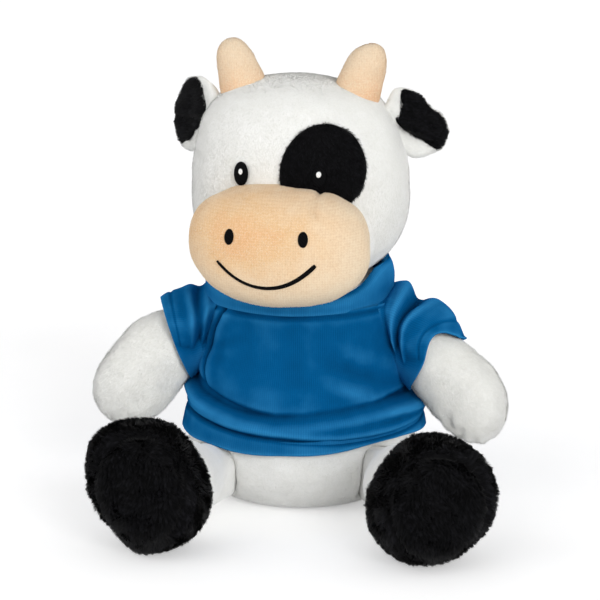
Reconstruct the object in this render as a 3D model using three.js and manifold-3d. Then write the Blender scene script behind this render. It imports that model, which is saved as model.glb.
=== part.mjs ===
// Plush cow that sits with its legs out, in a knitted T-shirt.
// Millimetres, +Z up. The toy looks along -Y, so its own left side is +X.
// The origin is the middle of the flat seat, on the surface that the toy sits on.
import * as THREE from 'three';
import { mergeVertices } from 'three/addons/utils/BufferGeometryUtils.js';
import Module from 'manifold-3d';

const wasm = await Module();
wasm.setup();

// Clearances and overruns
const sewnGap = 0.35;       // between two sewn pieces that touch
const clothGap = 0.45;      // between the shirt and what it lies on
const overrun = 5;          // how far a cutter runs past what it cuts
const floorCut = 0.5;       // how deep a soft form is flattened where it stands
const weld = 1e-5;          // points closer than this are one point

// Facets round each form
const roomSides = 14;
const jointBallSides = 18;
const smallBallSides = 10;
const torsoSides = 16;
const headSides = 20;
const muzzleSides = 20;
const limbSides = 12;
const bootSides = 16;
const hornSides = 12;
const earSides = 10;
const tailSides = 8;
const tuftSides = 12;
const shirtSides = 18;
const bandSides = 22;
const sewnRoundSides = 20;
const smallRoundSides = 12;

// Torso
const torsoHeight = 104;
const torsoHalfWidth = 51;
const torsoHalfDepth = 49;
const torsoX = 1;
const torsoY = -3;
const torsoWidthShares = [[0, 0], [0, 0.7], [0.04, 0.86], [0.12, 0.965], [0.27, 1.01],
  [0.42, 0.955], [0.53, 0.875], [0.66, 0.81], [0.93, 0.77], [1, 0]];

// Weighted seat: a bag of pellets in a pocket that the seat panel closes
const seatPanelRadius = 33;
const seatPanelThickness = 2;
const pocketRadius = 20;
const pocketHeight = 20;
const pocketY = 5;
const bagShares = [[0, 0], [0.04, 0.82], [0.2, 1], [0.75, 1], [0.96, 0.82], [1, 0]];

// Head
const neckSink = 11;          // how far the head is set down over the torso's top
const headBottom = torsoHeight - neckSink;
const headHeight = 95.3;
const headHalfWidth = 50;
const headHalfDepth = 46;
const headY = -3;
const headTurnDeg = -5;
const headWidthShares = [[0, 0], [0.03, 0.4], [0.084, 0.62], [0.136, 0.75],
  [0.2, 0.86], [0.262, 0.926], [0.346, 0.98], [0.43, 1], [0.535, 0.996], [0.64, 0.97],
  [0.735, 0.92], [0.83, 0.836], [0.91, 0.715], [0.97, 0.49], [1, 0]];
const headRoundBelowShare = 0.2;     // below this the head is round about the axis it turns on

// Muzzle
const muzzleHalfWidth = 40.5;
const muzzleHalfHeight = 26.3;
const muzzleDepth = 36;
const muzzleBackShare = 0.848;
const muzzleUpShare = 0.32;
const muzzleBackY = headY - headHalfDepth * muzzleBackShare;
const muzzleZ = headBottom + headHeight * muzzleUpShare;
const muzzleDroop = 3;
const muzzleSquareness = 2.35;
const muzzleShares = [[0, 0.9], [0.18, 0.98], [0.38, 1], [0.58, 0.95], [0.76, 0.83],
  [0.89, 0.64], [0.97, 0.38], [1, 0]];

// Eyes, patch, nostrils and smile, sewn or stitched on the face
const stitchThickness = 0.8;
const patchThickness = 1.4;
const patchAcrossShare = 0.35;       // places on the head, as shares of its half width and its height
const patchUpShare = 0.6464;
const eyeAcrossShare = 0.34;
const eyeUpShare = 0.6191;
const patchX = headHalfWidth * patchAcrossShare;
const patchZ = headBottom + headHeight * patchUpShare;
const patchHalfWidth = 18.3;
const patchHalfHeight = 18.8;
const eyeX = headHalfWidth * eyeAcrossShare;
const eyeZ = headBottom + headHeight * eyeUpShare;
const eyeHalfWidth = 3.4;
const eyeHalfHeight = 5.1;
const glintHalfWidth = 0.95;
const glintHalfHeight = 1.3;
const glintRise = 1.1;
const nostrilAcrossShare = 0.388;    // places on the muzzle, as shares of its half width and half height
const nostrilUpShare = 0.285;
const smileAcrossShare = 0.5185;
const smileDownShare = 0.122;
const smileDipShare = 0.395;
const nostrilX = muzzleHalfWidth * nostrilAcrossShare;
const nostrilZ = muzzleZ + muzzleHalfHeight * nostrilUpShare;
const nostrilHalfWidth = 2.1;
const nostrilHalfHeight = 3.3;
const smileHalfWidth = muzzleHalfWidth * smileAcrossShare;
const smileTopZ = muzzleZ - muzzleHalfHeight * smileDownShare;
const smileDip = muzzleHalfHeight * smileDipShare;
const smileLine = 1.7;
const smileSteps = 12;

// Horns
const hornAcrossShare = 0.5;
const hornUpShare = 0.892;
const hornX = headHalfWidth * hornAcrossShare;
const hornY = headY - sewnGap;
const hornBaseZ = headBottom + headHeight * hornUpShare;
const hornLength = 27;
const hornRadius = 10.3;
const hornLeanDeg = 13;
const hornBendShare = 0.1;
const hornShares = [[0, 0.96], [0.25, 1], [0.5, 0.93], [0.7, 0.82], [0.86, 0.63], [0.96, 0.36], [1, 0]];

// Ears
const earOffset = 1;
const earAcrossShare = 0.82;
const earUpShare = 0.829;
const earRootX = headHalfWidth * earAcrossShare;
const earRootY = headY + earOffset;
const earRootZ = headBottom + headHeight * earUpShare;
const earRootRadius = 5;
const earLength = 25;
const earHalfWidth = 15.5;
const earThickness = 6.5;
const earHeadClearance = 1.5;
const earDroopDeg = 14;
const earLeftBackDeg = 12;
const earRightBackDeg = 48;
const earLiningThickness = 1.3;
const earLiningShare = 0.9;
const earShares = [[-0.3, 0], [-0.25, 0.55], [0.1, 0.9], [0.45, 1], [0.72, 0.88], [0.92, 0.55],
  [1, 0]];

// Arms
const armLength = 65;
const armRadius = 16.5;
const armBend = 4;
const armRoundness = 0.94;
const shoulderRadius = 15.5;
const shoulderAcrossShares = { left: 0.8333, right: 0.7941 };
const shoulderUpShare = 0.7115;
const shoulderOffset = 1;
const shoulderLeft = { x: torsoX + torsoHalfWidth * shoulderAcrossShares.left,
  y: torsoY - shoulderOffset, z: torsoHeight * shoulderUpShare };
const shoulderRight = { x: torsoX - torsoHalfWidth * shoulderAcrossShares.right,
  y: torsoY - shoulderOffset, z: torsoHeight * shoulderUpShare };
const armDropLeftDeg = 38;
const armDropRightDeg = 34;
const armForwardDeg = 25;
const armLiftLeftDeg = 30;
const armLiftRightDeg = 25;
const armShares = [[-0.235, 0], [-0.218, 0.34], [-0.18, 0.58], [-0.14, 0.72], [0, 0.79], [0.26, 0.87],
  [0.48, 0.97], [0.66, 1], [0.82, 0.9], [0.93, 0.64], [0.985, 0.32], [1, 0]];

// Sleeves
const sleeveReachLeft = 27;
const sleeveReachRight = 17;
const sleeveCuffRadius = 16.6;
const sleeveShares = [[0, 0.925], [0.35, 0.95], [0.7, 1], [1, 1]];
const sleeveRootShares = [-0.45, -0.22];    // rows on the round of the shoulder, as shares of its radius

// Legs
const hipRadius = 17.9;
const hipRise = 20;
const hipAcrossShare = 0.588;
const hipAheadShare = 0.571;
const hipLeft = { x: torsoX + torsoHalfWidth * hipAcrossShare,
  y: torsoY - torsoHalfDepth * hipAheadShare, z: hipRise };
const hipRight = { x: -torsoHalfWidth * hipAcrossShare,
  y: torsoY - torsoHalfDepth * hipAheadShare, z: hipRise };
const legLength = 60;
const legRadius = 19;
const legRise = 5;
const legSplayLeftDeg = 27;
const legSplayRightDeg = 20;
const legSweepInDeg = 10;
const legSweepOutDeg = 15;
const legShares = [[-0.293, 0], [-0.27, 0.36], [-0.2, 0.67], [-0.1, 0.87], [0, 0.926], [0.25, 0.97],
  [0.5, 1], [0.75, 0.97], [0.95, 0.8], [0.95, 0]];
const legRoomShares = [[-0.07, 0.93], [0, 0.93], [0.25, 0.97], [0.5, 1], [0.9, 1]];

// Boots and soles
const bootHalfWidth = 27;
const bootHeight = 57;
const bootLength = 40;
const bootSquareness = 2.2;
const bootAheadLeft = 14.2;   // how far the foot's middle lies beyond the leg's end
const bootAheadRight = 7.4;
const bootTurnLeftDeg = 24;
const bootTurnRightDeg = 10;
const bootShares = [[0, 0], [0.03, 0.5], [0.14, 0.78], [0.32, 0.95], [0.55, 1], [0.76, 0.96],
  [0.9, 0.83], [0.98, 0.6], [1, 0]];
const soleHalfWidth = 19.5;
const soleHalfHeight = 23;
const soleThickness = 1.6;

// Tail
const tailRootDepth = 1;
const tailRootY = torsoY + torsoHalfDepth - tailRootDepth;
const tailRootZ = 19;
const tailRootRadius = 5;
const tailRadius = 3.6;
const tailReach = 17;
const tailDrop = 10.5;
const tailSteps = 5;
const tailCurve = 1.5;
const tuftLength = 17;
const tuftRadius = 7;
const tuftShares = [[0, 0], [0.02, 0.45], [0.25, 0.85], [0.5, 1], [0.75, 0.8], [0.93, 0.4], [1, 0]];

// Shirt
const hemLevel = 26.2;
const hemFrontLift = 4.3;
const hemSideLift = 2.2;
const shirtBelowHead = 3;
const shirtTop = headBottom - shirtBelowHead;
const shirtEaseHem = 5.4;
const shirtEaseChest = 3.2;
const shirtFlareShare = 0.7;
const shirtFlare = 0.6;              // extra room just under the neckband
const rollHeight = 17.5;            // the slack roll above the hem, measured from the hem
const rollSwell = 2.6;
const rollSpread = 6;
const pinchHeight = 9.5;
const pinchDepth = 2.4;
const pinchSpread = 3.2;
const foldBackShare = 0.4;           // how much of the slack folds is lost towards the back
const shirtRowShares = [0, 0.05, 0.1, 0.145, 0.19, 0.24, 0.3, 0.38, 0.5, 0.66, 0.83, 1];

// Neckband
const bandSeam = 0.7;
const bandBottom = shirtTop + bandSeam;
const bandBottomThickness = 2.1;
const bandTopThickness = 2.5;
const bandThickness = 3.4;
const bandFrontHeight = 6.3;
const bandSideHeight = 16.3;
const bandSideTop = bandBottom + bandSideHeight;
const bandHeadGap = 0.9;
const bandBodyGap = 2.4;
const bandSectionShares = [[0, 0], [0, 1], [0.35, 1.12], [0.75, 1.06], [1, 0.85], [1, 0], [0.5, 0]];
const bandRiseShares = [-0.95, -0.15];      // from the front round to where the band is at its highest

const white = '#eeeeea';
const black = '#121214';
const tan = '#e8cdaa';
const blue = '#0f5c91';
const bagCloth = '#d9d6c8';
const plushRoughness = 0.95;
const stitchRoughness = 0.5;

// A ring of points: a superellipse of half sizes a and b about (x, y) at height z
function ring(x, y, z, a, b, sides, squareness = 2) {
  const points = [];
  for (let i = 0; i < sides; i += 1) {
    const angle = (i / sides) * 2 * Math.PI;
    const c = Math.cos(angle);
    const s = Math.sin(angle);
    const shape = (v) => Math.sign(v) * Math.abs(v) ** (2 / squareness);
    points.push([x + a * shape(c), y + b * shape(s), z]);
  }
  return points;
}

// A closed skin over rings of points, with a pole at each end
function skin(start, rings, end) {
  const sides = rings[0].length;
  const vertices = [start, ...rings.flat(), end];
  const faces = [];
  const at = (row, i) => 1 + row * sides + (i % sides);
  const last = vertices.length - 1;
  for (let i = 0; i < sides; i += 1) {
    faces.push([0, at(0, i + 1), at(0, i)]);
    faces.push([last, at(rings.length - 1, i), at(rings.length - 1, i + 1)]);
    for (let row = 0; row + 1 < rings.length; row += 1) {
      faces.push([at(row, i), at(row, i + 1), at(row + 1, i + 1)]);
      faces.push([at(row, i), at(row + 1, i + 1), at(row + 1, i)]);
    }
  }
  const geometry = new THREE.BufferGeometry();
  geometry.setAttribute('position', new THREE.Float32BufferAttribute(vertices.flat(), 3));
  geometry.setIndex(faces.flat());
  return geometry;
}

// How far a limb bows up from its straight line, between its two ends
function bowAt(bow, along) {
  return 4 * bow * Math.max(0, along * (1 - along));
}

// A form that swells and tapers along +Z: each share is [along, across] of length and radius
function taper(shares, length, halfWidth, halfDepth, sides, options = {}) {
  const { squareness = 2, bow = 0, sink = 0 } = options;
  const place = (along) => [0, sink * along + bowAt(bow, along), along * length];
  const rows = shares.filter(([, across]) => across > 0);
  const rings = rows.map(([along, across]) => {
    const [x, y, z] = place(along);
    return ring(x, y, z, across * halfWidth, across * halfDepth, sides, squareness);
  });
  const [first] = shares[0];
  const [end] = shares[shares.length - 1];
  return skin(place(first), rings, place(end));
}

// A copy of a form with its skin moved out by a distance along the normals
function grow(geometry, distance) {
  const grown = geometry.clone();
  grown.computeVertexNormals();
  const p = grown.attributes.position;
  const n = grown.attributes.normal;
  for (let i = 0; i < p.count; i += 1) {
    p.setXYZ(i, p.getX(i) + distance * n.getX(i), p.getY(i) + distance * n.getY(i),
      p.getZ(i) + distance * n.getZ(i));
  }
  grown.deleteAttribute('normal');
  return grown;
}

function moved(geometry, matrix) {
  return geometry.clone().applyMatrix4(matrix);
}

// Turns a closed geometry into a manifold solid, and back
function solid(geometry) {
  const plain = geometry.clone();
  plain.deleteAttribute('normal');
  plain.deleteAttribute('uv');
  const merged = mergeVertices(plain, weld);
  const vertProperties = new Float32Array(merged.attributes.position.array);
  const triVerts = new Uint32Array(merged.index.array);
  return new wasm.Manifold(new wasm.Mesh({ numProp: 3, vertProperties, triVerts }));
}

function geometryOf(manifold) {
  const parts = manifold.decompose();
  parts.sort((a, b) => b.volume() - a.volume());
  const mesh = parts[0].getMesh();
  const geometry = new THREE.BufferGeometry();
  geometry.setAttribute('position', new THREE.BufferAttribute(mesh.vertProperties, 3));
  geometry.setIndex(new THREE.BufferAttribute(mesh.triVerts, 1));
  return geometry;
}

const rad = THREE.MathUtils.degToRad;
const turnZ = (deg) => new THREE.Matrix4().makeRotationZ(rad(deg));
const turnAbout = (x, y, deg) => new THREE.Matrix4().makeTranslation(x, y, 0)
  .multiply(turnZ(deg)).multiply(new THREE.Matrix4().makeTranslation(-x, -y, 0));

// A frame whose Z runs along a direction and whose Y is as upright as it can be
function frameAlong(origin, direction) {
  const z = direction.clone().normalize();
  const up = new THREE.Vector3(0, 0, 1);
  const y = up.sub(z.clone().multiplyScalar(up.dot(z))).normalize();
  const x = new THREE.Vector3().crossVectors(y, z);
  return new THREE.Matrix4().makeBasis(x, y, z).setPosition(origin.x, origin.y, origin.z);
}

// A ball whose poles lie on the axis that it turns about, so that it turns freely in its hollow
function ball(centre, radius, across, polesUp = true) {
  const geometry = new THREE.SphereGeometry(radius, across, across / 2);
  if (polesUp) geometry.rotateX(Math.PI / 2);
  geometry.translate(centre.x, centre.y, centre.z);
  return solid(geometry);
}

function block(x0, x1, y0, y1, z0, z1) {
  const geometry = new THREE.BoxGeometry(x1 - x0, y1 - y0, z1 - z0);
  geometry.translate((x0 + x1) / 2, (y0 + y1) / 2, (z0 + z1) / 2);
  return geometry;
}

const everything = 3 * (headBottom + headHeight);
const floorBlock = solid(block(-everything, everything, -everything, everything, -everything, 0));

// An upright ellipse pushed through the face along Y
function faceCutter(x, z, halfWidth, halfHeight, sides = sewnRoundSides) {
  const geometry = new THREE.CylinderGeometry(1, 1, headHeight, sides);
  geometry.scale(halfWidth, 1, halfHeight);
  geometry.translate(x, headY - headHeight / 2, z);
  return solid(geometry);
}

// Layer of a given thickness that lies on a form at a given gap
function layer(form, gap, thickness) {
  return solid(grow(form, gap + thickness)).subtract(solid(grow(form, gap)));
}

// Torso form, in place
function torsoForm() {
  const form = taper(torsoWidthShares, torsoHeight, torsoHalfWidth, torsoHalfDepth, torsoSides);
  form.translate(torsoX, torsoY, 0);
  return form;
}

// Width share of a form at a share of its height
function widthShareAt(shares, height) {
  const share = Math.min(Math.max(height, 0), 1);
  const rows = shares.filter(([, across], i) => across > 0 || i > 0);
  const next = Math.max(rows.findIndex(([along]) => along >= share), 1);
  const [a0, w0] = rows[next - 1];
  const [a1, w1] = rows[next];
  return w0 + ((share - a0) / (a1 - a0)) * (w1 - w0);
}

const torsoShareAt = (z) => widthShareAt(torsoWidthShares, z / torsoHeight);
const headRadiusAt = (z) => headHalfWidth
  * widthShareAt([[-1, 0], ...headWidthShares], (z - headBottom) / headHeight);

// Head form: round about its own axis at the neck, a little flatter front to back above
function headForm() {
  const rows = headWidthShares.filter(([, across]) => across > 0);
  const flatness = headHalfDepth / headHalfWidth;
  const rings = rows.map(([along, across]) => {
    const blend = THREE.MathUtils.smoothstep(along, headRoundBelowShare, 2 * headRoundBelowShare);
    const depth = across * headHalfWidth * (1 + (flatness - 1) * blend);
    return ring(0, headY, headBottom + along * headHeight, across * headHalfWidth, depth, headSides);
  });
  return skin([0, headY, headBottom], rings, [0, headY, headBottom + headHeight]);
}

function muzzleForm() {
  const form = taper(muzzleShares, muzzleDepth, muzzleHalfWidth, muzzleHalfHeight, muzzleSides,
    { squareness: muzzleSquareness, sink: -muzzleDroop });
  const direction = new THREE.Vector3(0, -1, 0);
  return moved(form, frameAlong({ x: 0, y: muzzleBackY, z: muzzleZ }, direction));
}

const bandBottomRadius = torsoHalfWidth * torsoShareAt(bandBottom) + bandBodyGap
  + bandBottomThickness;
const bandTopRadius = headRadiusAt(bandSideTop) + bandHeadGap + bandTopThickness;
const torso = torsoForm();
const head = headForm();
const muzzle = muzzleForm();
const faceTurn = turnAbout(0, headY, headTurnDeg);

// Each limb is described in a frame whose Z runs down the limb.
// The arm's Y is the way that it lifts, about an axis along the toy's Y.
function armFrame(side) {
  const shoulder = side > 0 ? shoulderLeft : shoulderRight;
  const drop = rad(side > 0 ? armDropLeftDeg : armDropRightDeg);
  const ahead = rad(armForwardDeg);
  const z = new THREE.Vector3(side * Math.cos(drop) * Math.cos(ahead),
    -Math.cos(drop) * Math.sin(ahead), -Math.sin(drop));
  const y = new THREE.Vector3(0, -side, 0).cross(z).normalize();
  const x = new THREE.Vector3().crossVectors(y, z);
  return new THREE.Matrix4().makeBasis(x, y, z).setPosition(shoulder.x, shoulder.y, shoulder.z);
}

// A ring of the room that a round limb needs as it swings to both sides or up and down:
// two half circles set apart by how far the limb swings there
function roomRing({ radius, bow = 0, distance }, swing, reach, toSides) {
  const across = (radius / Math.cos(swing) + sewnGap) / Math.cos(Math.PI / roomSides);
  const spread = Math.max(0, reach) * Math.tan(swing);
  const points = [];
  for (let i = 0; i < roomSides; i += 1) {
    const angle = ((i + (toSides ? 0 : 0.5)) / roomSides) * 2 * Math.PI;
    const x = across * Math.cos(angle);
    const y = across * Math.sin(angle);
    points.push(toSides ? [x + Math.sign(x) * spread, bow + y, distance]
      : [x, bow + y + Math.sign(y) * spread, distance]);
  }
  return points;
}

function armForm() {
  return taper(armShares, armLength, armRadius * armRoundness, armRadius, limbSides, { bow: armBend });
}

function legFrame(side) {
  const hip = side > 0 ? hipLeft : hipRight;
  const splay = rad(side > 0 ? legSplayLeftDeg : legSplayRightDeg);
  return frameAlong(hip, new THREE.Vector3(side * Math.sin(splay), -Math.cos(splay),
    legRise / legLength));
}

function legForm(side) {
  return moved(taper(legShares, legLength, legRadius, legRadius, limbSides), legFrame(side));
}

// Everywhere that a leg reaches as it opens and closes about its hip
function legRoom(side) {
  const hip = side > 0 ? hipLeft : hipRight;
  const swing = rad((legSweepInDeg + legSweepOutDeg) / 2);
  const middle = side * (legSweepOutDeg - legSweepInDeg) / 2;
  const rings = legRoomShares.map(([along, across]) => roomRing(
    { radius: across * legRadius, distance: along * legLength }, swing, along * legLength, true));
  const [start] = legRoomShares[0];
  const form = moved(skin([0, 0, start * legLength], rings, [0, 0, legLength]), legFrame(side));
  return solid(moved(form, turnAbout(hip.x, hip.y, middle)))
    .add(ball(hip, hipRadius + sewnGap, jointBallSides));
}

// The foot's place: on the leg's line, beyond its end
function bootPlace(side) {
  const hip = side > 0 ? hipLeft : hipRight;
  const splay = rad(side > 0 ? legSplayLeftDeg : legSplayRightDeg);
  const reach = legLength + (side > 0 ? bootAheadLeft : bootAheadRight);
  return { x: hip.x + side * reach * Math.sin(splay), y: hip.y - reach * Math.cos(splay) };
}

function bootForm(side) {
  const deg = side > 0 ? bootTurnLeftDeg : bootTurnRightDeg;
  const foot = bootPlace(side);
  const direction = new THREE.Vector3(side * Math.sin(rad(deg)), -Math.cos(rad(deg)), 0);
  const heel = { x: foot.x, y: foot.y, z: bootHeight / 2 - floorCut };
  const form = taper(bootShares, bootLength, bootHalfWidth, bootHeight / 2, bootSides,
    { squareness: bootSquareness });
  form.translate(0, 0, -bootLength / 2);
  return moved(form, frameAlong(heel, direction));
}

const legRooms = { left: legRoom(1), right: legRoom(-1) };
const earRoots = { left: { x: earRootX, y: earRootY, z: earRootZ },
  right: { x: -earRootX, y: earRootY, z: earRootZ } };

const armRooms = { left: armRoom(1), right: armRoom(-1) };
const tailRoot = { x: torsoX, y: tailRootY, z: tailRootZ };

function makeTorso() {
  const panel = new THREE.CylinderGeometry(seatPanelRadius + sewnGap, seatPanelRadius + sewnGap,
    2 * (seatPanelThickness + sewnGap), sewnRoundSides).rotateX(Math.PI / 2);
  const pocketTop = seatPanelThickness + 2 * sewnGap + pocketHeight;
  const pocket = new THREE.CylinderGeometry(pocketRadius + sewnGap, pocketRadius + sewnGap,
    pocketTop, sewnRoundSides).rotateX(Math.PI / 2);
  pocket.translate(0, pocketY, pocketTop / 2);
  return solid(torso).subtract(solid(moved(grow(head, sewnGap), faceTurn)))
    .subtract(armRooms.left).subtract(armRooms.right)
    .subtract(legRooms.left).subtract(legRooms.right)
    .subtract(ball(tailRoot, tailRootRadius + sewnGap, smallBallSides))
    .subtract(solid(panel)).subtract(solid(pocket));
}

function makeSeatPanel() {
  const geometry = new THREE.CylinderGeometry(seatPanelRadius, seatPanelRadius,
    seatPanelThickness, sewnRoundSides).rotateX(Math.PI / 2);
  geometry.translate(0, 0, seatPanelThickness / 2);
  return solid(geometry).subtract(legRooms.left).subtract(legRooms.right);
}

function makePelletBag() {
  const bag = taper(bagShares, pocketHeight, pocketRadius, pocketRadius, sewnRoundSides);
  bag.translate(0, pocketY, seatPanelThickness + sewnGap);
  return solid(bag);
}

// Head and face, built facing -Y and then turned together
function makeHead() {
  return solid(head).subtract(ball(earRoots.left, earRootRadius + sewnGap, earSides))
    .subtract(ball(earRoots.right, earRootRadius + sewnGap, earSides));
}

// Room round the neck that the neckband fills as the head turns over it
function neckbandSweep() {
  const geometry = new THREE.CylinderGeometry(bandTopRadius + sewnGap, bandBottomRadius + sewnGap,
    bandSideTop + clothGap - bandBottom + overrun, sewnRoundSides).rotateX(Math.PI / 2);
  geometry.translate(0, headY, (bandSideTop + clothGap + bandBottom - overrun) / 2);
  return solid(geometry);
}

function makeMuzzle() {
  return solid(muzzle).subtract(solid(grow(head, sewnGap))).subtract(neckbandSweep());
}

function makePatch() {
  return layer(head, sewnGap, patchThickness)
    .intersect(faceCutter(patchX, patchZ, patchHalfWidth, patchHalfHeight, sewnRoundSides))
    .subtract(solid(grow(muzzle, sewnGap)));
}

function makeEye(side) {
  const under = side > 0 ? 2 * sewnGap + patchThickness : sewnGap;
  return layer(head, under, stitchThickness)
    .intersect(faceCutter(side * eyeX, eyeZ, eyeHalfWidth, eyeHalfHeight))
    .subtract(solid(grow(muzzle, sewnGap)));
}

function makeGlint(side) {
  const patch = side > 0 ? sewnGap + patchThickness : 0;
  return layer(head, patch + 2 * sewnGap + stitchThickness, stitchThickness / 2)
    .intersect(faceCutter(side * eyeX, eyeZ + glintRise, glintHalfWidth, glintHalfHeight, smallRoundSides));
}

function makeNostril(side) {
  return layer(muzzle, sewnGap, stitchThickness)
    .intersect(faceCutter(side * nostrilX, nostrilZ, nostrilHalfWidth, nostrilHalfHeight));
}

function makeSmile() {
  const shape = new THREE.Shape();
  const edge = (i, side) => {
    const share = 2 * (i / smileSteps) - 1;
    return [share * smileHalfWidth, smileTopZ - smileDip * (1 - share ** 2) + side * smileLine / 2];
  };
  shape.moveTo(...edge(0, 1));
  for (let i = 1; i <= smileSteps; i += 1) shape.lineTo(...edge(i, 1));
  for (let i = smileSteps; i >= 0; i -= 1) shape.lineTo(...edge(i, -1));
  const bar = new THREE.ExtrudeGeometry(shape, { depth: headHeight, bevelEnabled: false });
  bar.rotateX(Math.PI / 2);
  bar.translate(0, headY, 0);
  return layer(muzzle, sewnGap, stitchThickness).intersect(solid(bar));
}

function makeHorn(side) {
  const lean = rad(hornLeanDeg);
  const direction = new THREE.Vector3(side * Math.sin(lean), 0, Math.cos(lean));
  const form = taper(hornShares, hornLength, hornRadius, hornRadius, hornSides);
  const frame = new THREE.Matrix4().makeBasis(new THREE.Vector3(direction.z, 0, -direction.x),
    new THREE.Vector3(0, 1, 0), direction).setPosition(side * hornX, hornY, hornBaseZ);
  const bent = form.clone();
  const p = bent.attributes.position;
  for (let i = 0; i < p.count; i += 1) {
    const along = p.getZ(i) / hornLength;
    p.setX(i, p.getX(i) + side * hornBendShare * hornLength * along ** 2);
  }
  return solid(moved(bent, frame)).subtract(solid(grow(head, sewnGap)));
}

function earForm(side) {
  const back = rad(side > 0 ? earLeftBackDeg : earRightBackDeg);
  const droop = rad(earDroopDeg);
  const direction = new THREE.Vector3(side * Math.cos(back) * Math.cos(droop),
    Math.sin(back) * Math.cos(droop), -Math.sin(droop));
  const form = taper(earShares, earLength, earThickness / 2, earHalfWidth, earSides);
  return moved(form, frameAlong(earRoots[side > 0 ? 'left' : 'right'], direction));
}

function makeEar(side) {
  const root = earRoots[side > 0 ? 'left' : 'right'];
  return solid(earForm(side)).subtract(solid(grow(head, earHeadClearance)))
    .add(ball(root, earRootRadius, earSides));
}

// The dark lining covers the front of the ear, short of its edge
function makeEarLining(side) {
  const root = earRoots[side > 0 ? 'left' : 'right'];
  const back = (side > 0 ? earLeftBackDeg : -earRightBackDeg);
  const front = block(-everything, everything, -everything, 0, -everything, everything);
  front.rotateZ(rad(back));
  front.translate(root.x, root.y, 0);
  const edge = new THREE.CylinderGeometry(1, 1, headHeight, smallRoundSides);
  edge.scale(earLength * earLiningShare / 2, 1, earHalfWidth * earLiningShare);
  edge.translate(side * (earLength * earLiningShare / 2 + earRootRadius / 2), 0, 0);
  edge.rotateY(rad(side * earDroopDeg));
  edge.rotateZ(rad(back));
  edge.translate(root.x, root.y, root.z);
  return layer(earForm(side), sewnGap, earLiningThickness)
    .intersect(solid(front)).intersect(solid(edge))
    .subtract(solid(grow(head, earHeadClearance)))
    .subtract(ball(root, earRootRadius + sewnGap, earSides));
}

// The arm's root is round about the shoulder, so that it turns in its hollow
function makeArm(side) {
  return solid(moved(armForm(), armFrame(side)));
}

// Where a sleeve's rows lie down the arm: how far, how much the arm bows there, and how wide
function sleeveRows(side) {
  const reach = side > 0 ? sleeveReachLeft : sleeveReachRight;
  return sleeveShares.map(([along, across]) => ({ distance: along * reach,
    bow: bowAt(armBend, along * reach / armLength), radius: across * sleeveCuffRadius }));
}

// Turns a form about the axis along Y that an arm lifts about
function lifted(form, side, deg) {
  const { x, y, z } = side > 0 ? shoulderLeft : shoulderRight;
  return moved(form, new THREE.Matrix4().makeTranslation(x, y, z)
    .multiply(new THREE.Matrix4().makeRotationY(rad(-side * deg)))
    .multiply(new THREE.Matrix4().makeTranslation(-x, -y, -z)));
}

// Everywhere that a sleeve reaches as its arm lifts
function armRoom(side) {
  const shoulder = side > 0 ? shoulderLeft : shoulderRight;
  const middle = (side > 0 ? armLiftLeftDeg : armLiftRightDeg) / 2;
  const drop = rad(side > 0 ? armDropLeftDeg : armDropRightDeg);
  const level = Math.hypot(Math.cos(drop) * Math.cos(rad(armForwardDeg)), Math.sin(drop));
  const rows = sleeveRows(side);
  rows.unshift({ ...rows[0], distance: -Math.sin(rad(middle)) * shoulderRadius });
  const rings = rows.map((row) => roomRing(row, rad(middle), level * row.distance, false));
  const { distance, bow } = rows[rows.length - 1];
  const form = moved(skin([0, 0, rows[0].distance], rings, [0, bow, distance]), armFrame(side));
  return solid(lifted(form, side, middle))
    .add(ball(shoulder, shoulderRadius + sewnGap, jointBallSides, false));
}

function makeSleeve(side) {
  const root = shoulderRadius - sewnGap;
  const round = sleeveRootShares.map((share) => ring(0, 0, share * root,
    root * Math.sqrt(1 - share ** 2), root * Math.sqrt(1 - share ** 2), limbSides));
  const rows = sleeveRows(side);
  const tube = rows.map(({ distance, bow, radius }) => ring(0, bow, distance, radius, radius, limbSides));
  const { distance, bow } = rows[rows.length - 1];
  const start = [0, 0, sleeveRootShares[0] * root];
  const frame = armFrame(side);
  return solid(moved(skin(start, [...round, ...tube], [0, bow, distance]), frame))
    .subtract(solid(moved(grow(armForm(), clothGap), frame)));
}

function makeLeg(side) {
  return solid(legForm(side)).subtract(solid(grow(bootForm(side), sewnGap)));
}

function makeBoot(side) {
  return solid(bootForm(side)).subtract(floorBlock);
}

function makeSole(side) {
  const deg = side > 0 ? bootTurnLeftDeg : bootTurnRightDeg;
  const foot = bootPlace(side);
  const cutter = new THREE.CylinderGeometry(1, 1, bootLength, sewnRoundSides);
  cutter.scale(soleHalfWidth, 1, soleHalfHeight);
  cutter.translate(0, -bootLength / 2, 0);
  cutter.rotateZ(rad(side * deg));
  cutter.translate(foot.x, foot.y, bootHeight / 2 - floorCut);
  return layer(bootForm(side), sewnGap, soleThickness).intersect(solid(cutter))
    .subtract(floorBlock);
}

// The tail droops behind the seat, and its tuft ends just clear of the floor
function tailPoint(share) {
  return [torsoX, tailRootY + share * tailReach, tailRootZ - tailDrop * share ** tailCurve];
}

function makeTail() {
  const rings = [];
  for (let i = 0; i <= tailSteps; i += 1) {
    const [x, y, z] = tailPoint(i / tailSteps);
    const points = ring(0, 0, 0, tailRadius, tailRadius, tailSides);
    rings.push(points.map(([across, up]) => [x + across, y, z + up]).reverse());
  }
  return solid(skin(tailPoint(0), rings, tailPoint(1))).add(ball(tailRoot, tailRootRadius, smallBallSides));
}

function makeTuft() {
  const [x, y, z] = tailPoint(1);
  const form = taper(tuftShares, tuftLength, tuftRadius, tuftRadius, tuftSides);
  return solid(moved(form, frameAlong({ x, y: y + sewnGap, z }, new THREE.Vector3(0, 1, 0))));
}

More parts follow.
